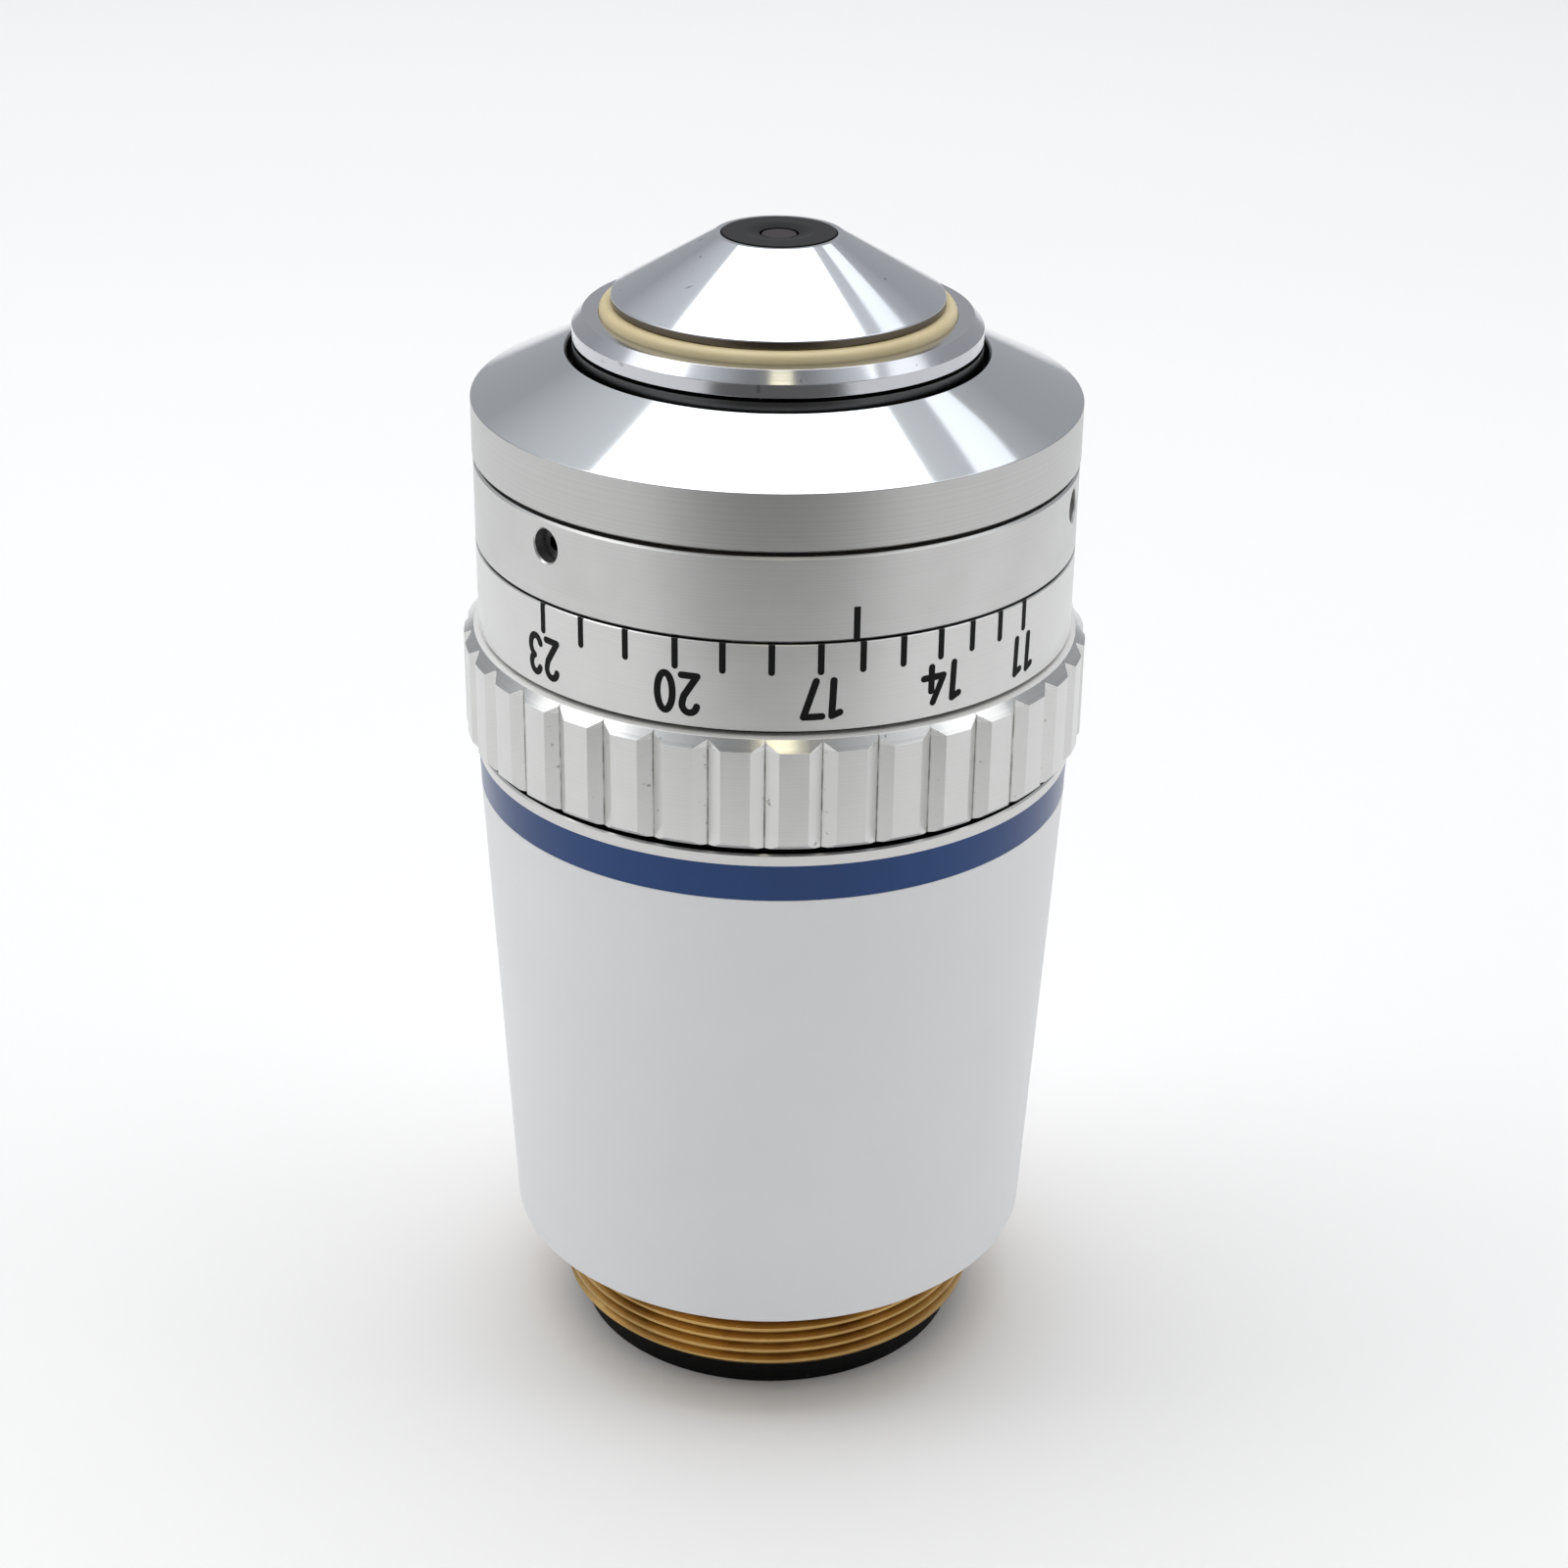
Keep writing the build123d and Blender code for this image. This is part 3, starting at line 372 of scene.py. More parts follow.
looks = {
    "coverChrome": (coverMetal, {
        "edge": 58.04, "dark": (0.50, 0.50, 0.49), "light": (0.60, 0.60, 0.59), "polish": (0.66, 0.68, 0.70),
        "roughness": 0.34, "polishRoughness": 0.07, "marksPerMm": 16.0, "depth": 0.003,
        # the hole colour is painted shade for the gap round the flange
        "holeRadius": 11.48, "hole": (0.012, 0.012, 0.012),
    }),
    "satinChrome": (turnedMetal, {
        "dark": (0.56, 0.56, 0.55), "light": (0.68, 0.68, 0.67), "roughness": 0.36, "roughSpread": 0.08,
        "smudge": 0.05, "marksPerMm": 15.0, "depth": 0.003,
    }),
    "gripChrome": (gripMetal, {
        "grooves": 36, "firstGroove": -1.4, "gripTop": 44.76, "dark": (0.60, 0.60, 0.59),
        "light": (0.72, 0.72, 0.71), "grooveDark": (0.13, 0.12, 0.10), "roughness": 0.3, "roughSpread": 0.1,
        "marksPerMm": 14.0, "depth": 0.003, "low": 38.56, "undercut": 16.30, "chamfer": 0.57,
        # the near-black colour is painted shadow, the near-white one a painted highlight
        "paintedShadow": (0.02, 0.02, 0.02), "scaleLow": 45.05, "shoulder": (0.95, 0.94, 0.92),
    }),
    "polishedChrome": (polishedMetal, {
        "light": (0.66, 0.68, 0.71), "dark": (0.56, 0.58, 0.61), "speck": (0.2, 0.2, 0.2), "roughness": 0.06,
        "smudge": 0.05, "marksPerMm": 22.0, "depth": 0.00025,
        # painted shade: the dark band on the wall under the nose cone's rim
        "paintedShade": (0.12, 0.10, 0.075), "paintedShadeLow": 63.03, "paintedShadeTop": 63.47,
    }),
    "flangeChrome": (polishedMetal, {
        "light": (0.60, 0.61, 0.64), "dark": (0.50, 0.51, 0.54), "speck": (0.2, 0.2, 0.2), "roughness": 0.11,
        "smudge": 0.08, "marksPerMm": 22.0, "depth": 0.0005,
        # painted shadow: black on the flange's groove and neck
        "paintedShade": (0.012, 0.012, 0.012), "paintedShadeLow": 50.0, "paintedShadeTop": 61.18,
    }),
    "mattSilver": (mattMetal, {
        "lowEdge": 7.0, "dark": (0.81, 0.815, 0.82), "light": (0.85, 0.855, 0.86), "worn": (0.5, 0.5, 0.5),
        "metallic": 0.05, "roughness": 0.48, "depth": 0.0015, "top": 38.11, "satinLow": 37.37,
        # the near-black colour is painted shadow
        "satin": (0.66, 0.655, 0.645), "paintedShadow": (0.02, 0.02, 0.02),
    }),
    "threadBrass": (tarnishedBrass, {
        "crest": 12.5, "rootDepth": 0.46, "light": (0.66, 0.43, 0.16), "dark": (0.22, 0.11, 0.03),
        "roughness": 0.26, "marksPerMm": 18.0, "depth": 0.002,
    }),
    "innerBrass": (tarnishedBrass, {
        "crest": 15.0, "rootDepth": 1.5, "light": (0.16, 0.12, 0.07), "dark": (0.05, 0.035, 0.02),
        "roughness": 0.40, "marksPerMm": 16.0, "depth": 0.002,
    }),
    "tubeChrome": (turnedMetal, {
        "dark": (0.06, 0.06, 0.06), "light": (0.13, 0.13, 0.13), "roughness": 0.3, "roughSpread": 0.1,
        "smudge": 0.1, "marksPerMm": 12.0, "depth": 0.002,
    }),
    "mattBlack": (blackFinish, {
        "dark": (0.002, 0.002, 0.002), "light": (0.006, 0.006, 0.006), "dust": (0.08, 0.08, 0.075),
        "roughness": 0.5, "marksPerMm": 14.0, "depth": 0.002, "gloss": 0.12,
    }),
    "faceBlack": (faceFinish, {
        "dark": (0.012, 0.0115, 0.012), "light": (0.019, 0.018, 0.019), "deep": (0.001, 0.001, 0.001),
        "mouth": 0.95, "edge": 3.10, "roughness": 0.4, "marksPerMm": 14.0, "depth": 0.0008, "gloss": 0.12,
    }),
    "washerBlack": (blackFinish, {
        "dark": (0.01, 0.01, 0.01), "light": (0.03, 0.03, 0.03), "dust": (0.12, 0.12, 0.12),
        "roughness": 0.6, "marksPerMm": 8.0, "depth": 0.002, "gloss": 0.2,
    }),
    "darkSteel": (turnedMetal, {
        "dark": (0.05, 0.05, 0.05), "light": (0.12, 0.12, 0.12), "roughness": 0.35, "roughSpread": 0.1,
        "smudge": 0.1, "marksPerMm": 12.0, "depth": 0.003,
    }),
    "springSteel": (turnedMetal, {
        "dark": (0.4, 0.4, 0.4), "light": (0.58, 0.58, 0.58), "roughness": 0.28, "roughSpread": 0.1,
        "smudge": 0.1, "marksPerMm": 9.0, "depth": 0.001,
    }),
    "blueEnamel": (enamel, {
        "dark": (0.004, 0.042, 0.170), "light": (0.006, 0.052, 0.205), "roughness": 0.30, "depth": 0.0008,
    }),
    "creamSeal": (softRing, {
        "dark": (0.66, 0.54, 0.30), "light": (0.75, 0.64, 0.39), "roughness": 0.45, "depth": 0.001,
    }),
    "lensGlass": (coatedGlass, {
        "coating": (0.030, 0.008, 0.012), "body": (0.006, 0.006, 0.008), "roughness": 0.04,
    }),
    "blackFill": (inkFill, {
        "dark": (0.003, 0.003, 0.003), "light": (0.008, 0.008, 0.008), "roughness": 0.6, "depth": 0.002,
    }),
}
finishes = {name: material(name, recipe, look) for name, (recipe, look) in looks.items()}
print("finishes made:", len(finishes))


# mesh makers; sizes in millimetres, azimuth 0 faces the front (-Y) and grows towards +X

def polar(radius, azimuth, z):
    angle = radians(azimuth)
    return Vector((radius * sin(angle), -radius * cos(angle), z))


def plainMesh(work, name="plain"):
    bmesh.ops.recalc_face_normals(work, faces=work.faces)
    mesh = bpy.data.meshes.new(name)
    work.to_mesh(mesh)
    work.free()
    return mesh


def linked(name, data):
    holder = bpy.data.objects.new(name, data)
    bpy.context.scene.collection.objects.link(holder)
    return holder


def newPiece(name, work, finish, sharpAngle=25.0):
    return addPiece(name, plainMesh(work, name), finish, sharpAngle)


def addPiece(name, mesh, finish, sharpAngle=25.0):
    # the makers work in millimetres; a finished piece is in metres
    mesh.transform(Matrix.Scale(mm, 4))
    mesh.name = name
    for face in mesh.polygons:
        face.use_smooth = True
    mesh.set_sharp_from_angle(angle=radians(sharpAngle))
    mesh.materials.clear()
    mesh.materials.append(finishes[finish])
    return linked(name, mesh)


def stands(piece, body, slot, *nodes):
    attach(piece, body)
    if nodes:
        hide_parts(*nodes)


def roundedOutline(corners, closed=True):
    # corners are (radius, height) or (radius, height, rounding)
    # a short flat on each side of a rounding keeps the shading crisp
    outline, count = [], len(corners)
    for i, corner in enumerate(corners):
        here = Vector(corner[:2])
        rounding = corner[2] if len(corner) > 2 else 0
        if not rounding or (not closed and i in (0, count - 1)):
            outline.append(here)
            continue
        back = (Vector(corners[i - 1][:2]) - here).normalized()
        ahead = (Vector(corners[(i + 1) % count][:2]) - here).normalized()
        half = back.angle(ahead) / 2
        reach = rounding * cos(half) / sin(half)
        centre = here + (back + ahead).normalized() * (rounding / sin(half))
        first, last = here + back * reach - centre, here + ahead * reach - centre
        outline.append(here + back * reach * 1.6)
        for step in range(5):
            outline.append(centre + first.slerp(last, step / 4).normalized() * rounding)
        outline.append(here + ahead * reach * 1.6)
    return outline


def lathe(corners, columns=256, closed=True, azimuths=None):
    # a bmesh of revolution; points on the axis close to one vertex
    outline = roundedOutline(corners, closed)
    around = azimuths or [i * 360 / columns for i in range(columns)]
    work = bmesh.new()
    rows = []
    for radius, z in outline:
        if radius < 1e-6:
            rows.append([work.verts.new((0, 0, z))] * len(around))
        else:
            rows.append([work.verts.new(polar(radius, azimuth, z)) for azimuth in around])
    pairs = list(zip(rows, rows[1:])) + ([(rows[-1], rows[0])] if closed else [])
    for low, high in pairs:
        for i in range(len(around)):
            j = (i + 1) % len(around)
            corner = list(dict.fromkeys((low[i], low[j], high[j], high[i])))
            if len(corner) > 2:
                work.faces.new(corner)
    return work


def cutWith(mesh, cutters):
    # the mesh with the cutters' meshes taken out of it
    holder = linked("holder", mesh)
    tools = [holder]
    for cutter in cutters:
        tool = linked("cutter", cutter)
        tools.append(tool)
        cut = holder.modifiers.new("cut", "BOOLEAN")
        cut.operation, cut.solver, cut.object = "DIFFERENCE", "EXACT", tool
    plain = evaluated(holder)
    for tool in tools:
        bpy.data.objects.remove(tool)
    return plain


def bridged(work, rings):
    # faces from ring to ring, and one across each end
    for low, high in zip(rings, rings[1:]):
        for i in range(len(low)):
            j = (i + 1) % len(low)
            work.faces.new((low[i], low[j], high[j], high[i]))
    work.faces.new(rings[0])
    work.faces.new(rings[-1])
    return work


def evaluated(piece):
    bpy.context.view_layer.update()
    graph = bpy.context.evaluated_depsgraph_get()
    return bpy.data.meshes.new_from_object(piece.evaluated_get(graph))


def geometryTree(name, sockets):
    # a Geometry Nodes tree with named inputs; returns it, its wires and one wire for each input
    tree = bpy.data.node_groups.new(name, "GeometryNodeTree")
    tree.interface.new_socket("Geometry", in_out="INPUT", socket_type="NodeSocketGeometry")
    for label, kind in sockets.items():
        tree.interface.new_socket(label, in_out="INPUT", socket_type=kind)
    tree.interface.new_socket("Geometry", in_out="OUTPUT", socket_type="NodeSocketGeometry")
    wires = Wires(tree)
    given = wires.node("NodeGroupInput", output=("Geometry", *sockets))
    return tree, wires, given


def geometryEnd(wires, geometry, finish):
    realised = wires.node("GeometryNodeRealizeInstances", {}, {0: geometry})
    painted = wires.node("GeometryNodeSetMaterial", {}, {"Geometry": realised, "Material": finishes[finish]})
    wires.node("NodeGroupOutput", {}, {"Geometry": painted})


def turnedSpot(wires, azimuth, radius, z):
    # the node form of polar(), with its azimuth in radians
    return wires.node("ShaderNodeCombineXYZ", {}, {
        "X": wires.sum("SINE", azimuth) * radius, "Y": 0.0 - wires.sum("COSINE", azimuth) * radius, "Z": z,
    })


def grown(tree, base, values):
    # runs the tree on a base mesh with its inputs set, and returns a plain mesh
    holder = linked("holder", base)
    grower = holder.modifiers.new("grower", "NODES")
    grower.node_group = tree
    for item in tree.interface.items_tree:
        if item.item_type == "SOCKET" and item.in_out == "INPUT" and item.name in values:
            grower[item.identifier] = values[item.name]
    plain = evaluated(holder)
    holder.modifiers.clear()
    bpy.data.objects.remove(holder)
    return plain


def joined(meshes):
    work = bmesh.new()
    for mesh in meshes:
        work.from_mesh(mesh)
    return work


# nose

noseCone = {
    "top": 66.80, "rim": 63.50, "low": 63.05, "spigotLow": 56.55, "ledge": 65.30, "wellLow": 62.50,
    "hole": 3.15, "topRadius": 3.45, "rimRadius": 9.06, "spigot": 8.58, "bore": 6.60, "well": 4.57,
}


def makeNoseCone():
    n = noseCone
    work = lathe([
        (n["bore"], n["spigotLow"]), (n["spigot"], n["spigotLow"]), (n["spigot"], n["low"]),
        (n["rimRadius"], n["low"], 0.04), (n["rimRadius"], n["rim"], 0.07), (n["topRadius"], n["top"], 0.06),
        (n["hole"], n["top"], 0.03), (n["hole"], n["ledge"]), (n["well"], n["ledge"]),
        (n["well"], n["wellLow"]), (n["bore"], n["wellLow"]),
    ])
    stands(newPiece("noseCone", work, "polishedChrome"), "nose", "polished_chrome", "nose_cone")


frontCell = {
    "radius": 3.10, "face": 66.85, "skirt": 4.55, "shoulder": 65.25, "low": 62.40, "bore": 3.92,
    "boreTop": 64.57, "dishRadius": 1.90, "mouth": 1.02, "dishDepth": 0.10, "seat": 1.50, "seatDepth": 0.77,
}


def makeFrontCell():
    f = frontCell
    work = lathe([
        (f["bore"], f["low"]), (f["skirt"], f["low"]), (f["skirt"], f["shoulder"]),
        (f["radius"], f["shoulder"]), (f["radius"], f["face"], 0.05), (f["dishRadius"], f["face"], 0.10),
        (f["mouth"], f["face"] - f["dishDepth"], 0.04), (f["seat"], f["face"] - f["seatDepth"]),
        (f["seat"], f["boreTop"]), (f["bore"], f["boreTop"]),
    ], columns=192)
    stands(newPiece("frontCell", work, "faceBlack"), "nose", "black_anodised", "front_cell")


frontLens = {"ball": 1.45, "centre": 65.60, "flat": 66.72, "steps": 28}


def makeFrontLens():
    ball, centre, flat, steps = frontLens.values()
    end = pi / 2 + asin((flat - centre) / ball)
    angles = [end * i / steps for i in range(1, steps + 1)]
    bowl = [(ball * sin(angle), centre - ball * cos(angle)) for angle in angles]
    work = lathe([(0.0, centre - ball)] + bowl + [(0.0, flat)], columns=96, closed=False)
    stands(newPiece("frontLens", work, "lensGlass"), "nose", "optical_glass", "front_lens")


seal = {"inner": 8.60, "outer": 9.70, "low": 61.96, "top": 63.03, "rounding": 0.44}


def makeSeal():
    s = seal
    work = lathe([
        (s["inner"], s["low"]), (s["outer"], s["low"]), (s["outer"], s["top"], s["rounding"]),
        (s["inner"], s["top"], 0.04),
    ])
    stands(newPiece("noseSeal", work, "creamSeal", 40.0), "nose", "cream_seal", "nose_seal")


flange = {
    "radius": 11.18, "chamferRadius": 10.62, "top": 62.51, "chamferLow": 61.88, "low": 61.15, "groove": 10.83,
    "neck": 10.15, "neckTop": 60.97, "neckLow": 55.02, "bore": 8.60, "seat": 9.72, "seatLow": 61.96,
}


def makeFlange():
    f = flange
    work = lathe([
        (f["bore"], f["neckLow"]), (f["neck"], f["neckLow"]), (f["neck"], f["neckTop"]),
        (f["groove"], f["neckTop"]), (f["groove"], f["low"]), (f["radius"], f["low"], 0.04),
        (f["radius"], f["chamferLow"], 0.05), (f["chamferRadius"], f["top"], 0.04),
        (f["seat"], f["top"], 0.03), (f["seat"], f["seatLow"]), (f["bore"], f["seatLow"]),
    ])
    stands(newPiece("noseFlange", work, "flangeChrome"), "nose", "polished_chrome", "nose_flange")


# cover and index ring

cover = {
    "radius": 16.75, "low": 54.90, "edge": 58.04, "top": 60.53, "hole": 11.48, "lip": 59.30, "bore": 15.12,
    "well": 12.60, "wellLow": 57.52, "lowChamfer": 0.12, "holeChamfer": 0.15,
}


def makeCover():
    c = cover
    work = lathe([
        (c["bore"], c["low"]), (c["radius"] - c["lowChamfer"], c["low"]),
        (c["radius"], c["low"] + c["lowChamfer"]), (c["radius"], c["edge"], 0.06),
        (c["hole"] + c["holeChamfer"], c["top"], 0.04), (c["hole"], c["top"] - c["holeChamfer"]),
        (c["hole"], c["lip"]), (c["well"], c["lip"]), (c["well"], c["wellLow"]), (c["bore"], c["wellLow"]),
    ])
    stands(newPiece("frontCover", work, "coverChrome"), "barrel", "satin_chrome", "front_cover")


indexRing = {
    "bore": 15.12, "radius": 16.70, "low": 50.00, "top": 54.65, "edge": 0.12,
    "screwHeight": 53.20, "screwAzimuth": -45.7, "screws": 3, "holeRadius": 0.92, "holeMouth": 1.02,
    "holeStart": 14.0,
}


def roundCutter(azimuth, height, outline):
    # a turned cutter lying along the radius; its outline is (distance from the axis, cutter radius)
    work = lathe([(size, reach) for reach, size in outline], columns=48, closed=False)
    turn = Matrix.Rotation(radians(azimuth), 4, "Z") @ Matrix.Translation((0, 0, height))
    work.transform(turn @ Matrix.Rotation(pi / 2, 4, "X"))
    return plainMesh(work)


def makeIndexRing():
    r, edge = indexRing, indexRing["edge"]
    work = lathe([
        (r["bore"], r["low"]), (r["radius"] - edge, r["low"]), (r["radius"], r["low"] + edge),
        (r["radius"], r["top"] - edge), (r["radius"] - edge, r["top"]), (r["bore"], r["top"]),
    ])
    rim = r["holeMouth"] - r["holeRadius"]
    hole = [(r["holeStart"], 0.0), (r["holeStart"], r["holeRadius"]), (r["radius"] - rim, r["holeRadius"]),
            (r["radius"] + rim, r["holeMouth"] + rim), (r["radius"] + rim, 0.0)]
    turns = [r["screwAzimuth"] + i * 360 / r["screws"] for i in range(r["screws"])]
    cutters = [roundCutter(azimuth, r["screwHeight"], hole) for azimuth in turns]
    piece = addPiece("indexRing", cutWith(plainMesh(work), cutters), "satinChrome")
    stands(piece, "barrel", "satin_chrome", "index_ring")


setScrew = {
    "radius": 0.90, "inner": 14.52, "length": 1.50, "socket": 0.45, "socketDepth": 0.70, "chamfer": 0.10,
    "columns": 48,
}


def screwBlank():
    # one headless screw along +X, with a hexagon socket in its outer end
    s = setScrew
    work = bmesh.new()
    end, narrow = s["inner"] + s["length"], s["radius"] - s["chamfer"]

    def ring(reach, radiusAt):
        angles = [2 * pi * i / s["columns"] for i in range(s["columns"])]
        return [work.verts.new((reach, radiusAt(a) * sin(a), radiusAt(a) * cos(a))) for a in angles]

    def hexagon(angle):
        return s["socket"] * cos(pi / 6) / cos(angle % (pi / 3) - pi / 6)

    rings = [
        ring(s["inner"], lambda a: narrow), ring(s["inner"] + s["chamfer"], lambda a: s["radius"]),
        ring(end - s["chamfer"], lambda a: s["radius"]), ring(end, lambda a: narrow),
        ring(end, hexagon), ring(end - s["socketDepth"], hexagon),
    ]
    return plainMesh(bridged(work, rings))


def rowTree(name, finish):
    # copies of the base set round the optical axis at one height, the first one turned by the first angle
    sockets = {"Copies": "NodeSocketInt", "First angle": "NodeSocketFloat", "Step angle": "NodeSocketFloat",
               "Height": "NodeSocketFloat"}
    tree, wires, (geometry, copies, first, step, height) = geometryTree(name, sockets)
    index = wires.node("GeometryNodeInputIndex")
    spot = wires.node("ShaderNodeCombineXYZ", {}, {"Z": height})
    points = wires.node("GeometryNodePoints", {}, {"Count": copies, "Position": spot})
    turn = wires.node("ShaderNodeCombineXYZ", {}, {"Z": first + index * step})
    inputs = {"Points": points, "Instance": geometry, "Rotation": turn}
    geometryEnd(wires, wires.node("GeometryNodeInstanceOnPoints", {}, inputs), finish)
    return tree


def rowOf(tree, base, copies, first, step, height):
    # the angles are in degrees from the front, and the base stands at azimuth 90
    angles = {"First angle": radians(first - 90), "Step angle": radians(step)}
    return grown(tree, base, {"Copies": copies, "Height": height, **angles})


def makeSetScrews():
    r = indexRing
    tree = rowTree("screwRing", "darkSteel")
    mesh = rowOf(tree, screwBlank(), r["screws"], r["screwAzimuth"], 360 / r["screws"], r["screwHeight"])
    stands(addPiece("setScrews", mesh, "darkSteel"), "barrel", "dark_steel", "index_set_screws")


# correction collar: a turned blank whose grip is cut by rule in Geometry Nodes

collar = {
    "bore": 15.15, "grip": 17.55, "scale": 16.70, "undercut": 16.30, "low": 38.56, "gripTop": 44.76,
    "scaleLow": 45.05, "top": 49.90, "shoulderRise": 0.14, "topChamfer": 0.57, "lowChamfer": 0.30,
    "grooves": 36, "firstGroove": -1.4, "grooveDepth": 0.46, "flankRun": 1.55, "flankRise": 0.92,
    "landEdge": 0.12,
}


# row of the collar's outline: whether a groove cuts it, and which way it slides along its chamfer's cone
collarRows = {"cutByGroove": {1: 1, 2: 1, 3: 1}, "chamferSlide": {2: -1, 3: 1}}


def grooveEdge():
    # half angle of a groove where its flank leaves the grip's surface
    c = collar
    low, high = 0.0, radians(5)
    for halving in range(40):
        middle = (low + high) / 2
        reach = (c["grip"] - c["grooveDepth"]) / (cos(middle) - sin(middle) * c["flankRise"] / c["flankRun"])
        low, high = (middle, high) if reach < c["grip"] else (low, middle)
    return low * 180 / pi


def gripTree():
    # each vertex past the groove's flank moves in to it; chamfer vertices also slide along their cone
    labels = ("Grooves", "First groove", "Valley radius", "Flank slope", "Low height")
    tree, wires, given = geometryTree("grooveGrip", dict.fromkeys(labels, "NodeSocketFloat"))
    geometry, grooves, first, valley, slope, lowHeight = given
    x, y, z = axes(wires, wires.node("GeometryNodeInputPosition"))
    radius = wires.sum("SQRT", x * x + y * y)
    azimuth = azimuthOf(wires, x, y)
    turns = (azimuth - first) * grooves / (2 * pi)
    offset = wires.sum("ABSOLUTE", wires.sum("FRACT", turns + 100.5) - 0.5) * (2 * pi) / grooves
    flank = valley / (wires.sum("COSINE", offset) - wires.sum("SINE", offset) * slope)
    cut, slide = (wires.node("GeometryNodeInputNamedAttribute", {"data_type": "FLOAT"}, {"Name": name})
                  for name in collarRows)
    moved = radius + (wires.sum("MINIMUM", radius, flank) - radius) * cut
    lifted = wires.sum("MAXIMUM", z + (radius - moved) * slide, lowHeight)
    spot = turnedSpot(wires, azimuth, moved, lifted)
    shaped = wires.node("GeometryNodeSetPosition", {}, {"Geometry": geometry, "Position": spot})
    geometryEnd(wires, shaped, "gripChrome")
    return tree


def makeCollar():
    c = collar
    corners = [
        (c["bore"], c["low"]), (c["grip"] - c["lowChamfer"], c["low"]),
        (c["grip"], c["low"] + c["lowChamfer"]), (c["grip"], c["gripTop"] - c["topChamfer"]),
        (c["grip"] - c["topChamfer"], c["gripTop"]),
        (c["undercut"], c["gripTop"] + c["shoulderRise"]), (c["undercut"], c["scaleLow"]),
        (c["scale"] - 0.05, c["scaleLow"]), (c["scale"], c["scaleLow"] + 0.05),
        (c["scale"], c["top"] - 0.06), (c["scale"] - 0.06, c["top"]), (c["bore"], c["top"]),
    ]
    edge, pitch = grooveEdge(), 360 / c["grooves"]
    flat = edge + c["landEdge"]
    steps = [0.0, edge * 0.5, edge, flat] + [flat + (pitch - 2 * flat) * i / 4 for i in range(1, 5)]
    steps += [pitch - edge, pitch - edge * 0.5]
    azimuths = [c["firstGroove"] + groove * pitch + step for groove in range(c["grooves"]) for step in steps]
    mesh = plainMesh(lathe(corners, azimuths=azimuths))
    for name, rows in collarRows.items():
        values = mesh.attributes.new(name, "FLOAT", "POINT").data
        for row, value in rows.items():
            for column in range(len(azimuths)):
                values[row * len(azimuths) + column].value = value
    values = {"Grooves": float(c["grooves"]), "First groove": radians(c["firstGroove"]),
              "Valley radius": c["grip"] - c["grooveDepth"], "Flank slope": c["flankRise"] / c["flankRun"],
              "Low height": c["low"]}
    work = joined([grown(gripTree(), mesh, values)])
    bmesh.ops.remove_doubles(work, verts=work.verts, dist=0.002)
    piece = newPiece("correctionCollar", work, "gripChrome", 20.0)
    stands(piece, "collar", "satin_chrome", "correction_collar")


# scale: ticks by Geometry Nodes, numerals as single strokes with round ends

scale = {
    "radius": 16.70, "top": 49.90, "tickLength": 1.70, "tickWidth": 0.35, "proud": 0.01, "sunk": 0.05,
    "labels": (-46.8, -17.8, 8.25, 31.1, 52.1), "stepsBetween": 3,
    "indexAzimuth": 14.55, "indexLength": 1.85, "indexLow": 50.0,
    "numeralHeight": 46.87, "stroke": 0.38, "longestPart": 0.35,
    "numeralPlaces": {  # azimuth of the middle, and the step from digit to digit
        "23": (-46.9, 1.34), "20": (-17.4, 1.34), "17": (8.3, 1.34), "14": (31.8, 1.34), "11": (52.1, 1.06),
    },
}


def tickBlank(length, width):
    # one mark pointing down from height 0 at azimuth 90 (+X), with a round lower end, bent to the cylinder
    half = width / 2
    outline = [(-half, 0.0), (half, 0.0)]
    outline += [(half * cos(pi * i / 8), half - length - half * sin(pi * i / 8)) for i in range(9)]
    return inlay([outline])


def inlay(outlines):
    # closed flat outlines (along the rim, height) as thin plates on the scale's cylinder at azimuth 90
    work = bmesh.new()
    radius = scale["radius"]
    for outline in outlines:
        layers = []
        for reach in (radius - scale["sunk"], radius + scale["proud"]):
            spots = [polar(reach, 90 + along / radius * 180 / pi, z) for along, z in outline]
            layers.append([work.verts.new(spot) for spot in spots])
        bridged(work, layers)
    return plainMesh(work)


def arc(x, y, width, height, start, end, steps=12):
    # part of an oval, from the start angle to the end angle; the sizes are half sizes
    angles = [radians(start + (end - start) * i / steps) for i in range(steps + 1)]
    return [(x + width * cos(angle), y + height * sin(angle)) for angle in angles]


# centre lines of the numerals, upright, about their own middle
numerals = {
    "0": [arc(0.0, 0.0, 0.42, 1.04, 90, 450, 32)],
    "1": [[(-0.34, 0.80), (0.08, 0.98), (0.0, -1.0)]],
    "2": [arc(0.0, 0.58, 0.40, 0.46, 170, -20) + [(0.30, 0.12), (-0.42, -1.04), (0.43, -1.04)]],
    "3": [arc(-0.02, 0.56, 0.38, 0.48, 160, -70) + arc(-0.02, -0.46, 0.43, 0.58, 75, -160)],
    "4": [[(-0.06, 1.0), (-0.68, -0.42), (0.52, -0.42)], [(0.06, 0.34), (0.06, -1.0)]],
    "7": [[(-0.74, 0.98), (0.22, 1.0), (-0.42, -1.0)]],
}


def shortSteps(path, longest):
    # the path in stretches short enough to lie on the cylinder
    steps = []
    for start, end in zip(path, path[1:]):
        first, last = Vector(start), Vector(end)
        count = ceil((last - first).length / longest)
        spots = [first.lerp(last, i / count) for i in range(count + 1)]
        steps += zip(spots, spots[1:])
    return steps


def strokePart(first, last, width):
    # a straight stretch of a stroke, with round ends
    half = width / 2
    out = (last - first).normalized()
    side = Vector((-out.y, out.x))
    turns = [pi * k / 8 for k in range(9)]
    return ([last + (side * cos(turn) + out * sin(turn)) * half for turn in turns]
            + [first - (side * cos(turn) + out * sin(turn)) * half for turn in turns])


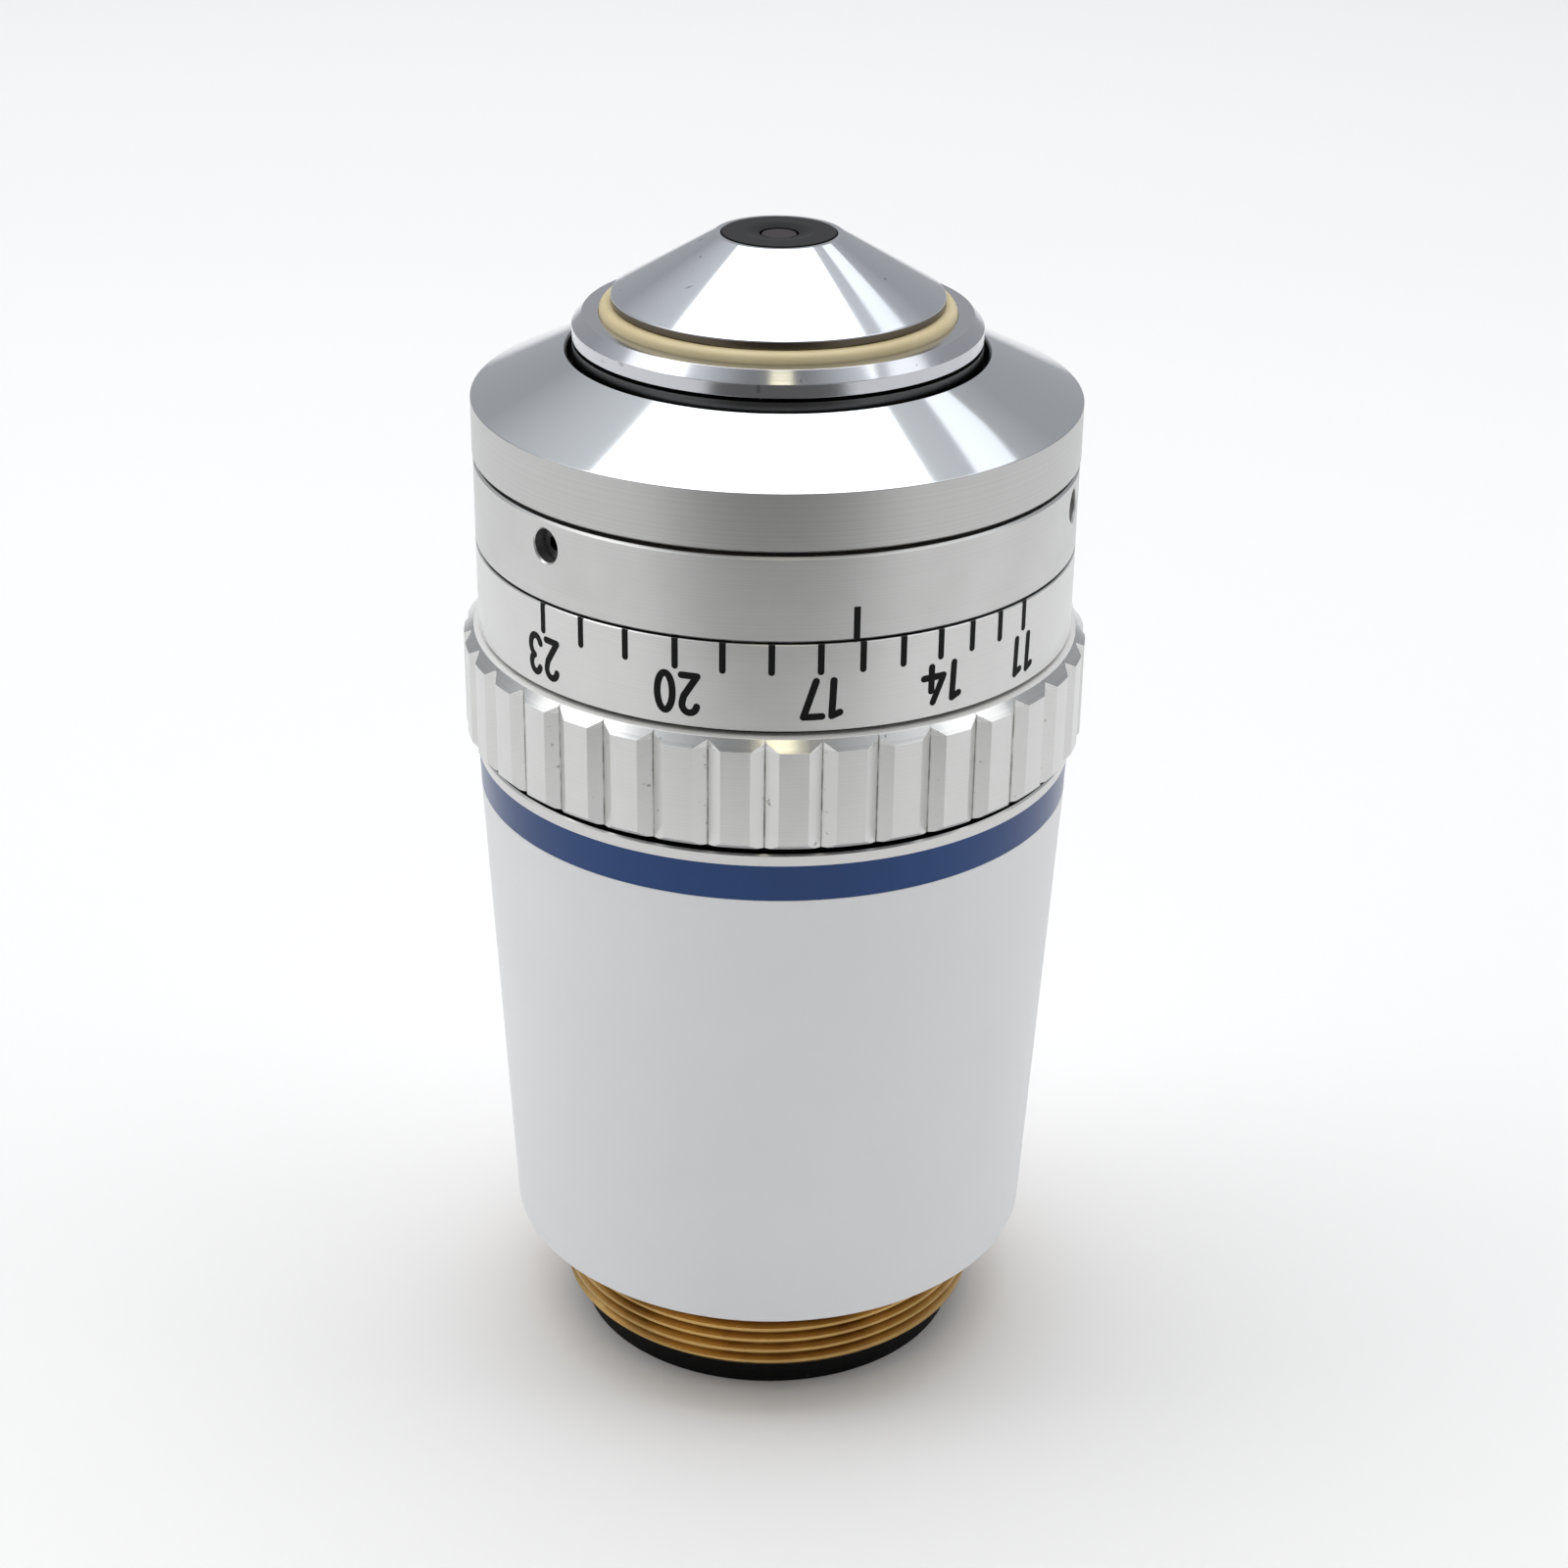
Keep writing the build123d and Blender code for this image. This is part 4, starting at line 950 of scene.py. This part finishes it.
def numeralPlates(text, azimuth, advance):
    # the numeral stands upside down when the objective stands on its thread
    plates = []
    shift = (len(text) - 1) / 2
    for place, digit in enumerate(text):
        centre = (place - shift) * advance
        for path in numerals[digit]:
            for start, end in shortSteps(path, scale["longestPart"]):
                outline = strokePart(start, end, scale["stroke"])
                plates.append([(-(p.x + centre), scale["numeralHeight"] - p.y) for p in outline])
    mesh = inlay(plates)
    mesh.transform(Matrix.Rotation(radians(azimuth - 90), 4, "Z"))
    return mesh


def makeScale():
    s = scale
    tree = rowTree("tickRow", "blackFill")
    places = s["labels"]
    meshes = []
    for first, following in zip(places, places[1:]):
        tick = tickBlank(s["tickLength"], s["tickWidth"])
        count = s["stepsBetween"]
        meshes.append(rowOf(tree, tick, count, first, (following - first) / count, s["top"]))
    meshes.append(rowOf(tree, tickBlank(s["tickLength"], s["tickWidth"]), 1, places[-1], 0.0, s["top"]))
    for text, (azimuth, advance) in s["numeralPlaces"].items():
        meshes.append(numeralPlates(text, azimuth, advance))
    stands(newPiece("scaleMarks", joined(meshes), "blackFill"), "collar", "black_anodised")
    blank = tickBlank(s["indexLength"], s["tickWidth"])
    line = rowOf(tree, blank, 1, s["indexAzimuth"], 0.0, s["indexLow"] + s["indexLength"])
    stands(addPiece("indexLine", line, "blackFill"), "barrel", "black_anodised")


# body sleeve, colour band, thread and rear ring

sleeve = {
    "shoulder": 7.0, "top": 38.11, "lowRadius": 15.40, "taper": 0.0512, "topChamfer": 0.12,
    "hole": 12.92, "seat": 14.30, "bore": 15.12, "floor": 8.5, "step": 22.0,
    "bandLow": 35.29, "bandTop": 37.39, "bandDepth": 0.20, "bandRecess": 0.03,
}


def sleeveRadius(z):
    return sleeve["lowRadius"] + sleeve["taper"] * (z - sleeve["shoulder"])


def makeSleeve():
    s = sleeve
    low, top = s["bandLow"], s["bandTop"]
    work = lathe([
        (s["hole"], s["shoulder"]), (s["lowRadius"] - 0.30, s["shoulder"], 0.08),
        (sleeveRadius(s["shoulder"] + 0.30), s["shoulder"] + 0.30, 0.12),
        (sleeveRadius(low), low, 0.04), (sleeveRadius(low) - s["bandDepth"], low),
        (sleeveRadius(top) - s["bandDepth"], top), (sleeveRadius(top), top, 0.04),
        (sleeveRadius(s["top"] - s["topChamfer"]), s["top"] - s["topChamfer"], 0.04),
        (sleeveRadius(s["top"]) - s["topChamfer"], s["top"], 0.04), (s["bore"], s["top"]),
        (s["bore"], s["step"]), (s["seat"], s["step"]), (s["seat"], s["floor"]), (s["hole"], s["floor"]),
    ])
    stands(newPiece("bodySleeve", work, "mattSilver"), "barrel", "satin_chrome", "body_sleeve")


def makeBand():
    s = sleeve
    low, top = s["bandLow"], s["bandTop"]
    work = lathe([
        (sleeveRadius(low) - s["bandDepth"], low), (sleeveRadius(low) - s["bandRecess"], low),
        (sleeveRadius(top) - s["bandRecess"], top), (sleeveRadius(top) - s["bandDepth"], top),
    ])
    stands(newPiece("colourBand", work, "blueEnamel"), "barrel", "blue_enamel", "colour_band")


thread = {
    "radius": 12.50, "pitch": 0.75, "depth": 0.40, "low": 2.15, "top": 6.95, "fade": 0.35, "columns": 192,
    "bore": 10.60, "lip": 12.90, "flange": 14.28, "spigot": 13.38,
    "end": 1.8, "shoulder": 7.0, "lipTop": 8.5, "flangeTop": 10.0, "spigotTop": 13.0,
}


def threadTree():
    # a flat grid wound into thread turns: its rows climb one pitch for each time round
    sockets = dict.fromkeys(("Radius", "Pitch", "Depth", "Low", "Top", "Fade"), "NodeSocketFloat")
    sockets.update(dict.fromkeys(("Columns", "Rows"), "NodeSocketInt"))
    tree, wires, given = geometryTree("threadTurns", sockets)
    radius, pitch, depth, low, top, fade, columns, rows = given[1:]
    grid = wires.node("GeometryNodeMeshGrid", {}, {
        "Size X": 1.0, "Size Y": 1.0, "Vertices X": columns + 1, "Vertices Y": rows + 1,
    })
    x, y, _ = axes(wires, wires.node("GeometryNodeInputPosition"))
    around = x + 0.5
    row = wires.sum("ROUND", (y + 0.5) * rows)
    z = wires.sum("MINIMUM", wires.sum("MAXIMUM", low - pitch + pitch * (row / 4 + around), low), top)
    phase = wires.sum("MODULO", row, 4.0)
    root = wires.sum("COMPARE", phase, 2.5, 0.6)
    ends = wires.clamped(z - low, 0.0, fade) * wires.clamped(top - z, 0.0, fade)
    spot = turnedSpot(wires, around * (2 * pi), radius - depth * root * ends, z)
    shaped = wires.node("GeometryNodeSetPosition", {}, {"Geometry": grid, "Position": spot})
    geometryEnd(wires, shaped, "threadBrass")
    return tree


def makeThread():
    t = thread
    turns = (t["top"] - t["low"]) / t["pitch"]
    names = ("radius", "pitch", "depth", "low", "top", "fade", "columns")
    values = {name.capitalize(): t[name] for name in names}
    values["Rows"] = 4 * (int(turns) + 3)
    wound = grown(threadTree(), bpy.data.meshes.new("threadBase"), values)
    work = lathe([
        (t["radius"], t["top"]), (t["radius"], t["shoulder"]), (t["lip"], t["shoulder"]),
        (t["lip"], t["lipTop"]), (t["flange"], t["lipTop"]), (t["flange"], t["flangeTop"]),
        (t["spigot"], t["flangeTop"]), (t["spigot"], t["spigotTop"]), (t["bore"], t["spigotTop"]),
        (t["bore"], t["end"]),
        (t["radius"] + t["end"] - t["low"], t["end"]), (t["radius"], t["low"]),
    ], columns=t["columns"], closed=False)
    work.from_mesh(wound)
    bmesh.ops.remove_doubles(work, verts=work.verts, dist=0.004)
    piece = newPiece("mountThread", work, "threadBrass", 30.0)
    stands(piece, "barrel", "brass", "mount_thread")


springs = {  # each is one coil between low and top; its fixed end, joint and share left are listed but not used here
    "mainSpring": {
        "node": "main_spring", "body": "barrel", "joint": "nose_retract", "fixedEnd": 13.0,
        "shareLeft": 0.706, "low": 13.0, "top": 21.5, "radius": 12.34, "wire": 1.1, "turns": 3.5,
    },
    "correctionSpring": {
        "node": "correction_spring", "body": "nose", "joint": "correction_slide", "fixedEnd": 43.0,
        "shareLeft": 0.754, "low": 37.0, "top": 43.0, "radius": 8.70, "wire": 0.6, "turns": 4.0,
    },
}


def coil(s, stepsPerTurn=48, around=10):
    work = bmesh.new()
    half, steps = s["wire"] / 2, int(s["turns"] * stepsPerTurn)
    angles = [2 * pi * i / around for i in range(around)]
    rings = []
    for i in range(steps + 1):
        height = s["low"] + half + (s["top"] - s["low"] - s["wire"]) * i / steps
        azimuth = 90 + 360 * s["turns"] * i / steps
        spots = [polar(s["radius"] + half * cos(a), azimuth, height + half * sin(a)) for a in angles]
        rings.append([work.verts.new(spot) for spot in spots])
    return bridged(work, rings)


def makeSprings():
    for name, s in springs.items():
        piece = newPiece(name, coil(s), "springSteel", 60.0)
        stands(piece, s["body"], "spring_steel", s["node"])
        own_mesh(piece)


rearRing = {
    "radius": 11.45, "mouth": 9.60, "bore": 7.50, "spigot": 10.58, "height": 1.80, "top": 5.0, "dish": 1.50,
    "slotWidth": 1.60, "slotDepth": 0.80, "slotWall": 0.80,
}


def makeRearRing():
    r = rearRing
    work = lathe([
        (r["bore"], r["dish"]), (r["mouth"], 0.0, 0.05), (r["radius"], 0.0, 0.10),
        (r["radius"], r["height"], 0.05), (r["spigot"], r["height"]), (r["spigot"], r["top"]),
        (r["bore"], r["top"]),
    ])
    cutter = bmesh.new()
    bmesh.ops.create_cube(cutter, size=1.0)
    reach = r["radius"] - r["slotWall"]
    cutter.transform(Matrix.Diagonal((r["slotWidth"], 2 * reach, 2 * r["slotDepth"], 1.0)))
    piece = addPiece("rearRing", cutWith(plainMesh(work), [plainMesh(cutter)]), "mattBlack")
    stands(piece, "barrel", "black_anodised", "rear_ring")


for make in (makeNoseCone, makeFrontCell, makeFrontLens, makeSeal, makeFlange, makeCover, makeIndexRing,
             makeSetScrews, makeCollar, makeScale, makeSleeve, makeBand, makeThread, makeRearRing,
             makeSprings):
    make()


# the CAD nodes inside keep their meshes and get their finish by slot, one of them its own

insideFinish = {
    "brass": "innerBrass", "satin_chrome": "satinChrome", "polished_chrome": "polishedChrome",
    "black_anodised": "mattBlack", "optical_glass": "lensGlass", "spring_steel": "springSteel",
    "dark_steel": "darkSteel", "blue_enamel": "blueEnamel", "cream_seal": "creamSeal",
    "dark_washer": "washerBlack",
}
ownFinish = {"lens_tube": "tubeChrome"}
slotOf = {part["node"]: part["material_slot"] for part in frame["record"]["subparts"]}
for name, node in frame["nodes"].items():
    for holder in node.material_slots:
        holder.material = finishes[ownFinish.get(name, insideFinish[slotOf[name]])]
print("CAD nodes finished:", len(slotOf))


# floor, light and camera

studio = {
    # the floor's far colour, and where it starts, are painted shade
    "floorHalf": 2.0, "floorNear": (0.985, 0.975, 0.965), "floorShadedFar": (0.865, 0.865, 0.865),
    "floorShadeStart": -0.05, "floorShadeEnd": 0.25, "floorGlow": 0.005,
    "roomLow": (0.43, 0.44, 0.46), "roomHigh": (0.80, 0.82, 0.85), "roomTilt": 0.12, "frontShade": 0.66,
    # the card is a painted dark reflection
    "cardHalf": 0.12, "cardNear": -0.118, "cardFar": -0.60, "cardColour": (0.17, 0.165, 0.16),
}
lamps = {
    # name: (centre in metres, half its width and half its height as vectors, radiance, colour)
    "overhead": ((-0.07, 0.21, 0.67), (0.36, 0.0, 0.0), (0.0, 0.30, 0.24), 1.7, (1.0, 1.0, 1.0)),
    "besideOverhead": ((0.40, 0.36, 0.72), (0.05, 0.0, 0.0), (0.0, 0.30, 0.0), 0.85, (0.94, 0.97, 1.0)),
    "left": ((-0.69, 0.0, 0.55), (0.0, 0.20, 0.0), (0.12, 0.0, 0.15), 1.0, (1.0, 0.99, 0.98)),
    "right": ((0.69, -0.02, 0.56), (0.0, 0.20, 0.0), (-0.12, 0.0, 0.15), 1.0, (1.0, 1.0, 1.0)),
    "warm": ((0.02, -0.36, 0.66), (0.055, 0.0, 0.0), (0.0, 0.06, 0.05), 2.0, (1.0, 0.92, 0.62)),
}


def floorPaint(wires):
    # white near the object and, by painted shade, paler grey behind it; seen as it is in metal and glass too
    place = objectPlace(wires)
    _, y, _ = axes(wires, place)
    cloud = noise(wires, place, 6.0) - 0.5
    # painted shade: the floor goes greyer behind the object
    fade = wires.clamped(y + cloud * 0.02, studio["floorShadeStart"], studio["floorShadeEnd"])
    rays = wires.node("ShaderNodeLightPath", output=("Is Camera Ray", "Is Glossy Ray", "Is Transmission Ray"))
    shown = wires.sum("MINIMUM", rays[0] + rays[1] + rays[2], 1.0)
    colour = wires.mixed(fade, studio["floorNear"], studio["floorShadedFar"])
    cloth = wires.node("ShaderNodeBsdfDiffuse", {}, {"Color": colour})
    glow = wires.node("ShaderNodeEmission", {}, {"Strength": shown * studio["floorGlow"]})
    return wires.node("ShaderNodeAddShader", {}, {0: cloth, 1: glow})


def cardPaint(wires):
    return wires.node("ShaderNodeBsdfDiffuse", {}, {"Color": colour4(studio["cardColour"])})


def stageSheet(name, half, near, far, z, paint):
    # a level sheet that stands on the stage, near and far being its places along Y
    work = bmesh.new()
    spots = ((-half, near), (half, near), (half, far), (-half, far))
    work.faces.new([work.verts.new((x, y, z)) for x, y in spots])
    mesh = plainMesh(work, name)
    made, wires = emptyMaterial(name + "Paint")
    wires.node("ShaderNodeOutputMaterial", {}, {"Surface": paint(wires)})
    mesh.materials.append(made)
    sheet = linked(name, mesh)
    return sheet


def makeFloor():
    half = studio["floorHalf"]
    stageSheet("floor", half, -half, half, 0.0, floorPaint)


def makeCard():
    # a dark card on the floor, nearer than the picture's lower edge, that only gloss sees:
    # a painted dark reflection that puts the dark middle into the metal
    s = studio
    card = stageSheet("frontCard", s["cardHalf"], s["cardFar"], s["cardNear"], 0.5 * mm, cardPaint)
    card.visible_camera = card.visible_diffuse = card.visible_shadow = False


def makeWorld():
    # a pale room, lighter overhead, with a darker part in front
    world = bpy.data.worlds.new("studio")
    world.use_nodes = True
    world.node_tree.nodes.clear()
    wires = Wires(world.node_tree)
    x, y, z = axes(wires, objectPlace(wires))
    height = wires.clamped(z - x * studio["roomTilt"], 0.45, 0.85)
    front = wires.clamped(0.0 - y - wires.sum("ABSOLUTE", x) * 0.5, 0.0, 0.3) * wires.clamped(z, 0.15, 0.4)
    room = wires.mixed(height, studio["roomLow"], studio["roomHigh"])
    inputs = {"Color": room, "Strength": 1.0 - front * studio["frontShade"]}
    sky = wires.node("ShaderNodeBackground", {}, inputs)
    wires.node("ShaderNodeOutputWorld", {}, {"Surface": sky})
    bpy.context.scene.world = world


def makeLamps():
    for name, (centre, across, along, radiance, colour) in lamps.items():
        across, along, centre = Vector(across), Vector(along), Vector(centre)
        lamp = bpy.data.lights.new(name, "AREA")
        lamp.shape, lamp.size, lamp.size_y = "RECTANGLE", 2 * across.length, 2 * along.length
        lamp.energy, lamp.color = radiance * pi * lamp.size * lamp.size_y, colour
        away = across.cross(along).normalized()
        if away.dot(centre) < 0:
            across, away = -across, -away
        turn = Matrix((across.normalized(), along.normalized(), away)).transposed()
        holder = linked(name, lamp)
        holder.matrix_world = Matrix.Translation(centre) @ turn.to_4x4()
        holder.visible_camera = False


shot = {
    "place": (0.0, -0.154603, 0.108159), "yaw": -0.241, "lookDown": 25.596, "roll": 0.766, "lens": 67.59,
    "sensor": 36.0,
}


def makeCamera():
    data = bpy.data.cameras.new("camera")
    data.lens, data.sensor_width, data.clip_start = shot["lens"], shot["sensor"], 0.01
    camera = linked("camera", data)
    yaw, tip, roll = (radians(angle) for angle in (shot["yaw"], 90 - shot["lookDown"], shot["roll"]))
    turn = Matrix.Rotation(yaw, 4, "Z") @ Matrix.Rotation(tip, 4, "X") @ Matrix.Rotation(roll, 4, "Z")
    camera.matrix_world = Matrix.Translation(shot["place"]) @ turn
    bpy.context.scene.camera = camera


makeFloor()
makeCard()
makeWorld()
makeLamps()
makeCamera()
bpy.context.scene.view_settings.view_transform = "Standard"
print("studio ready")
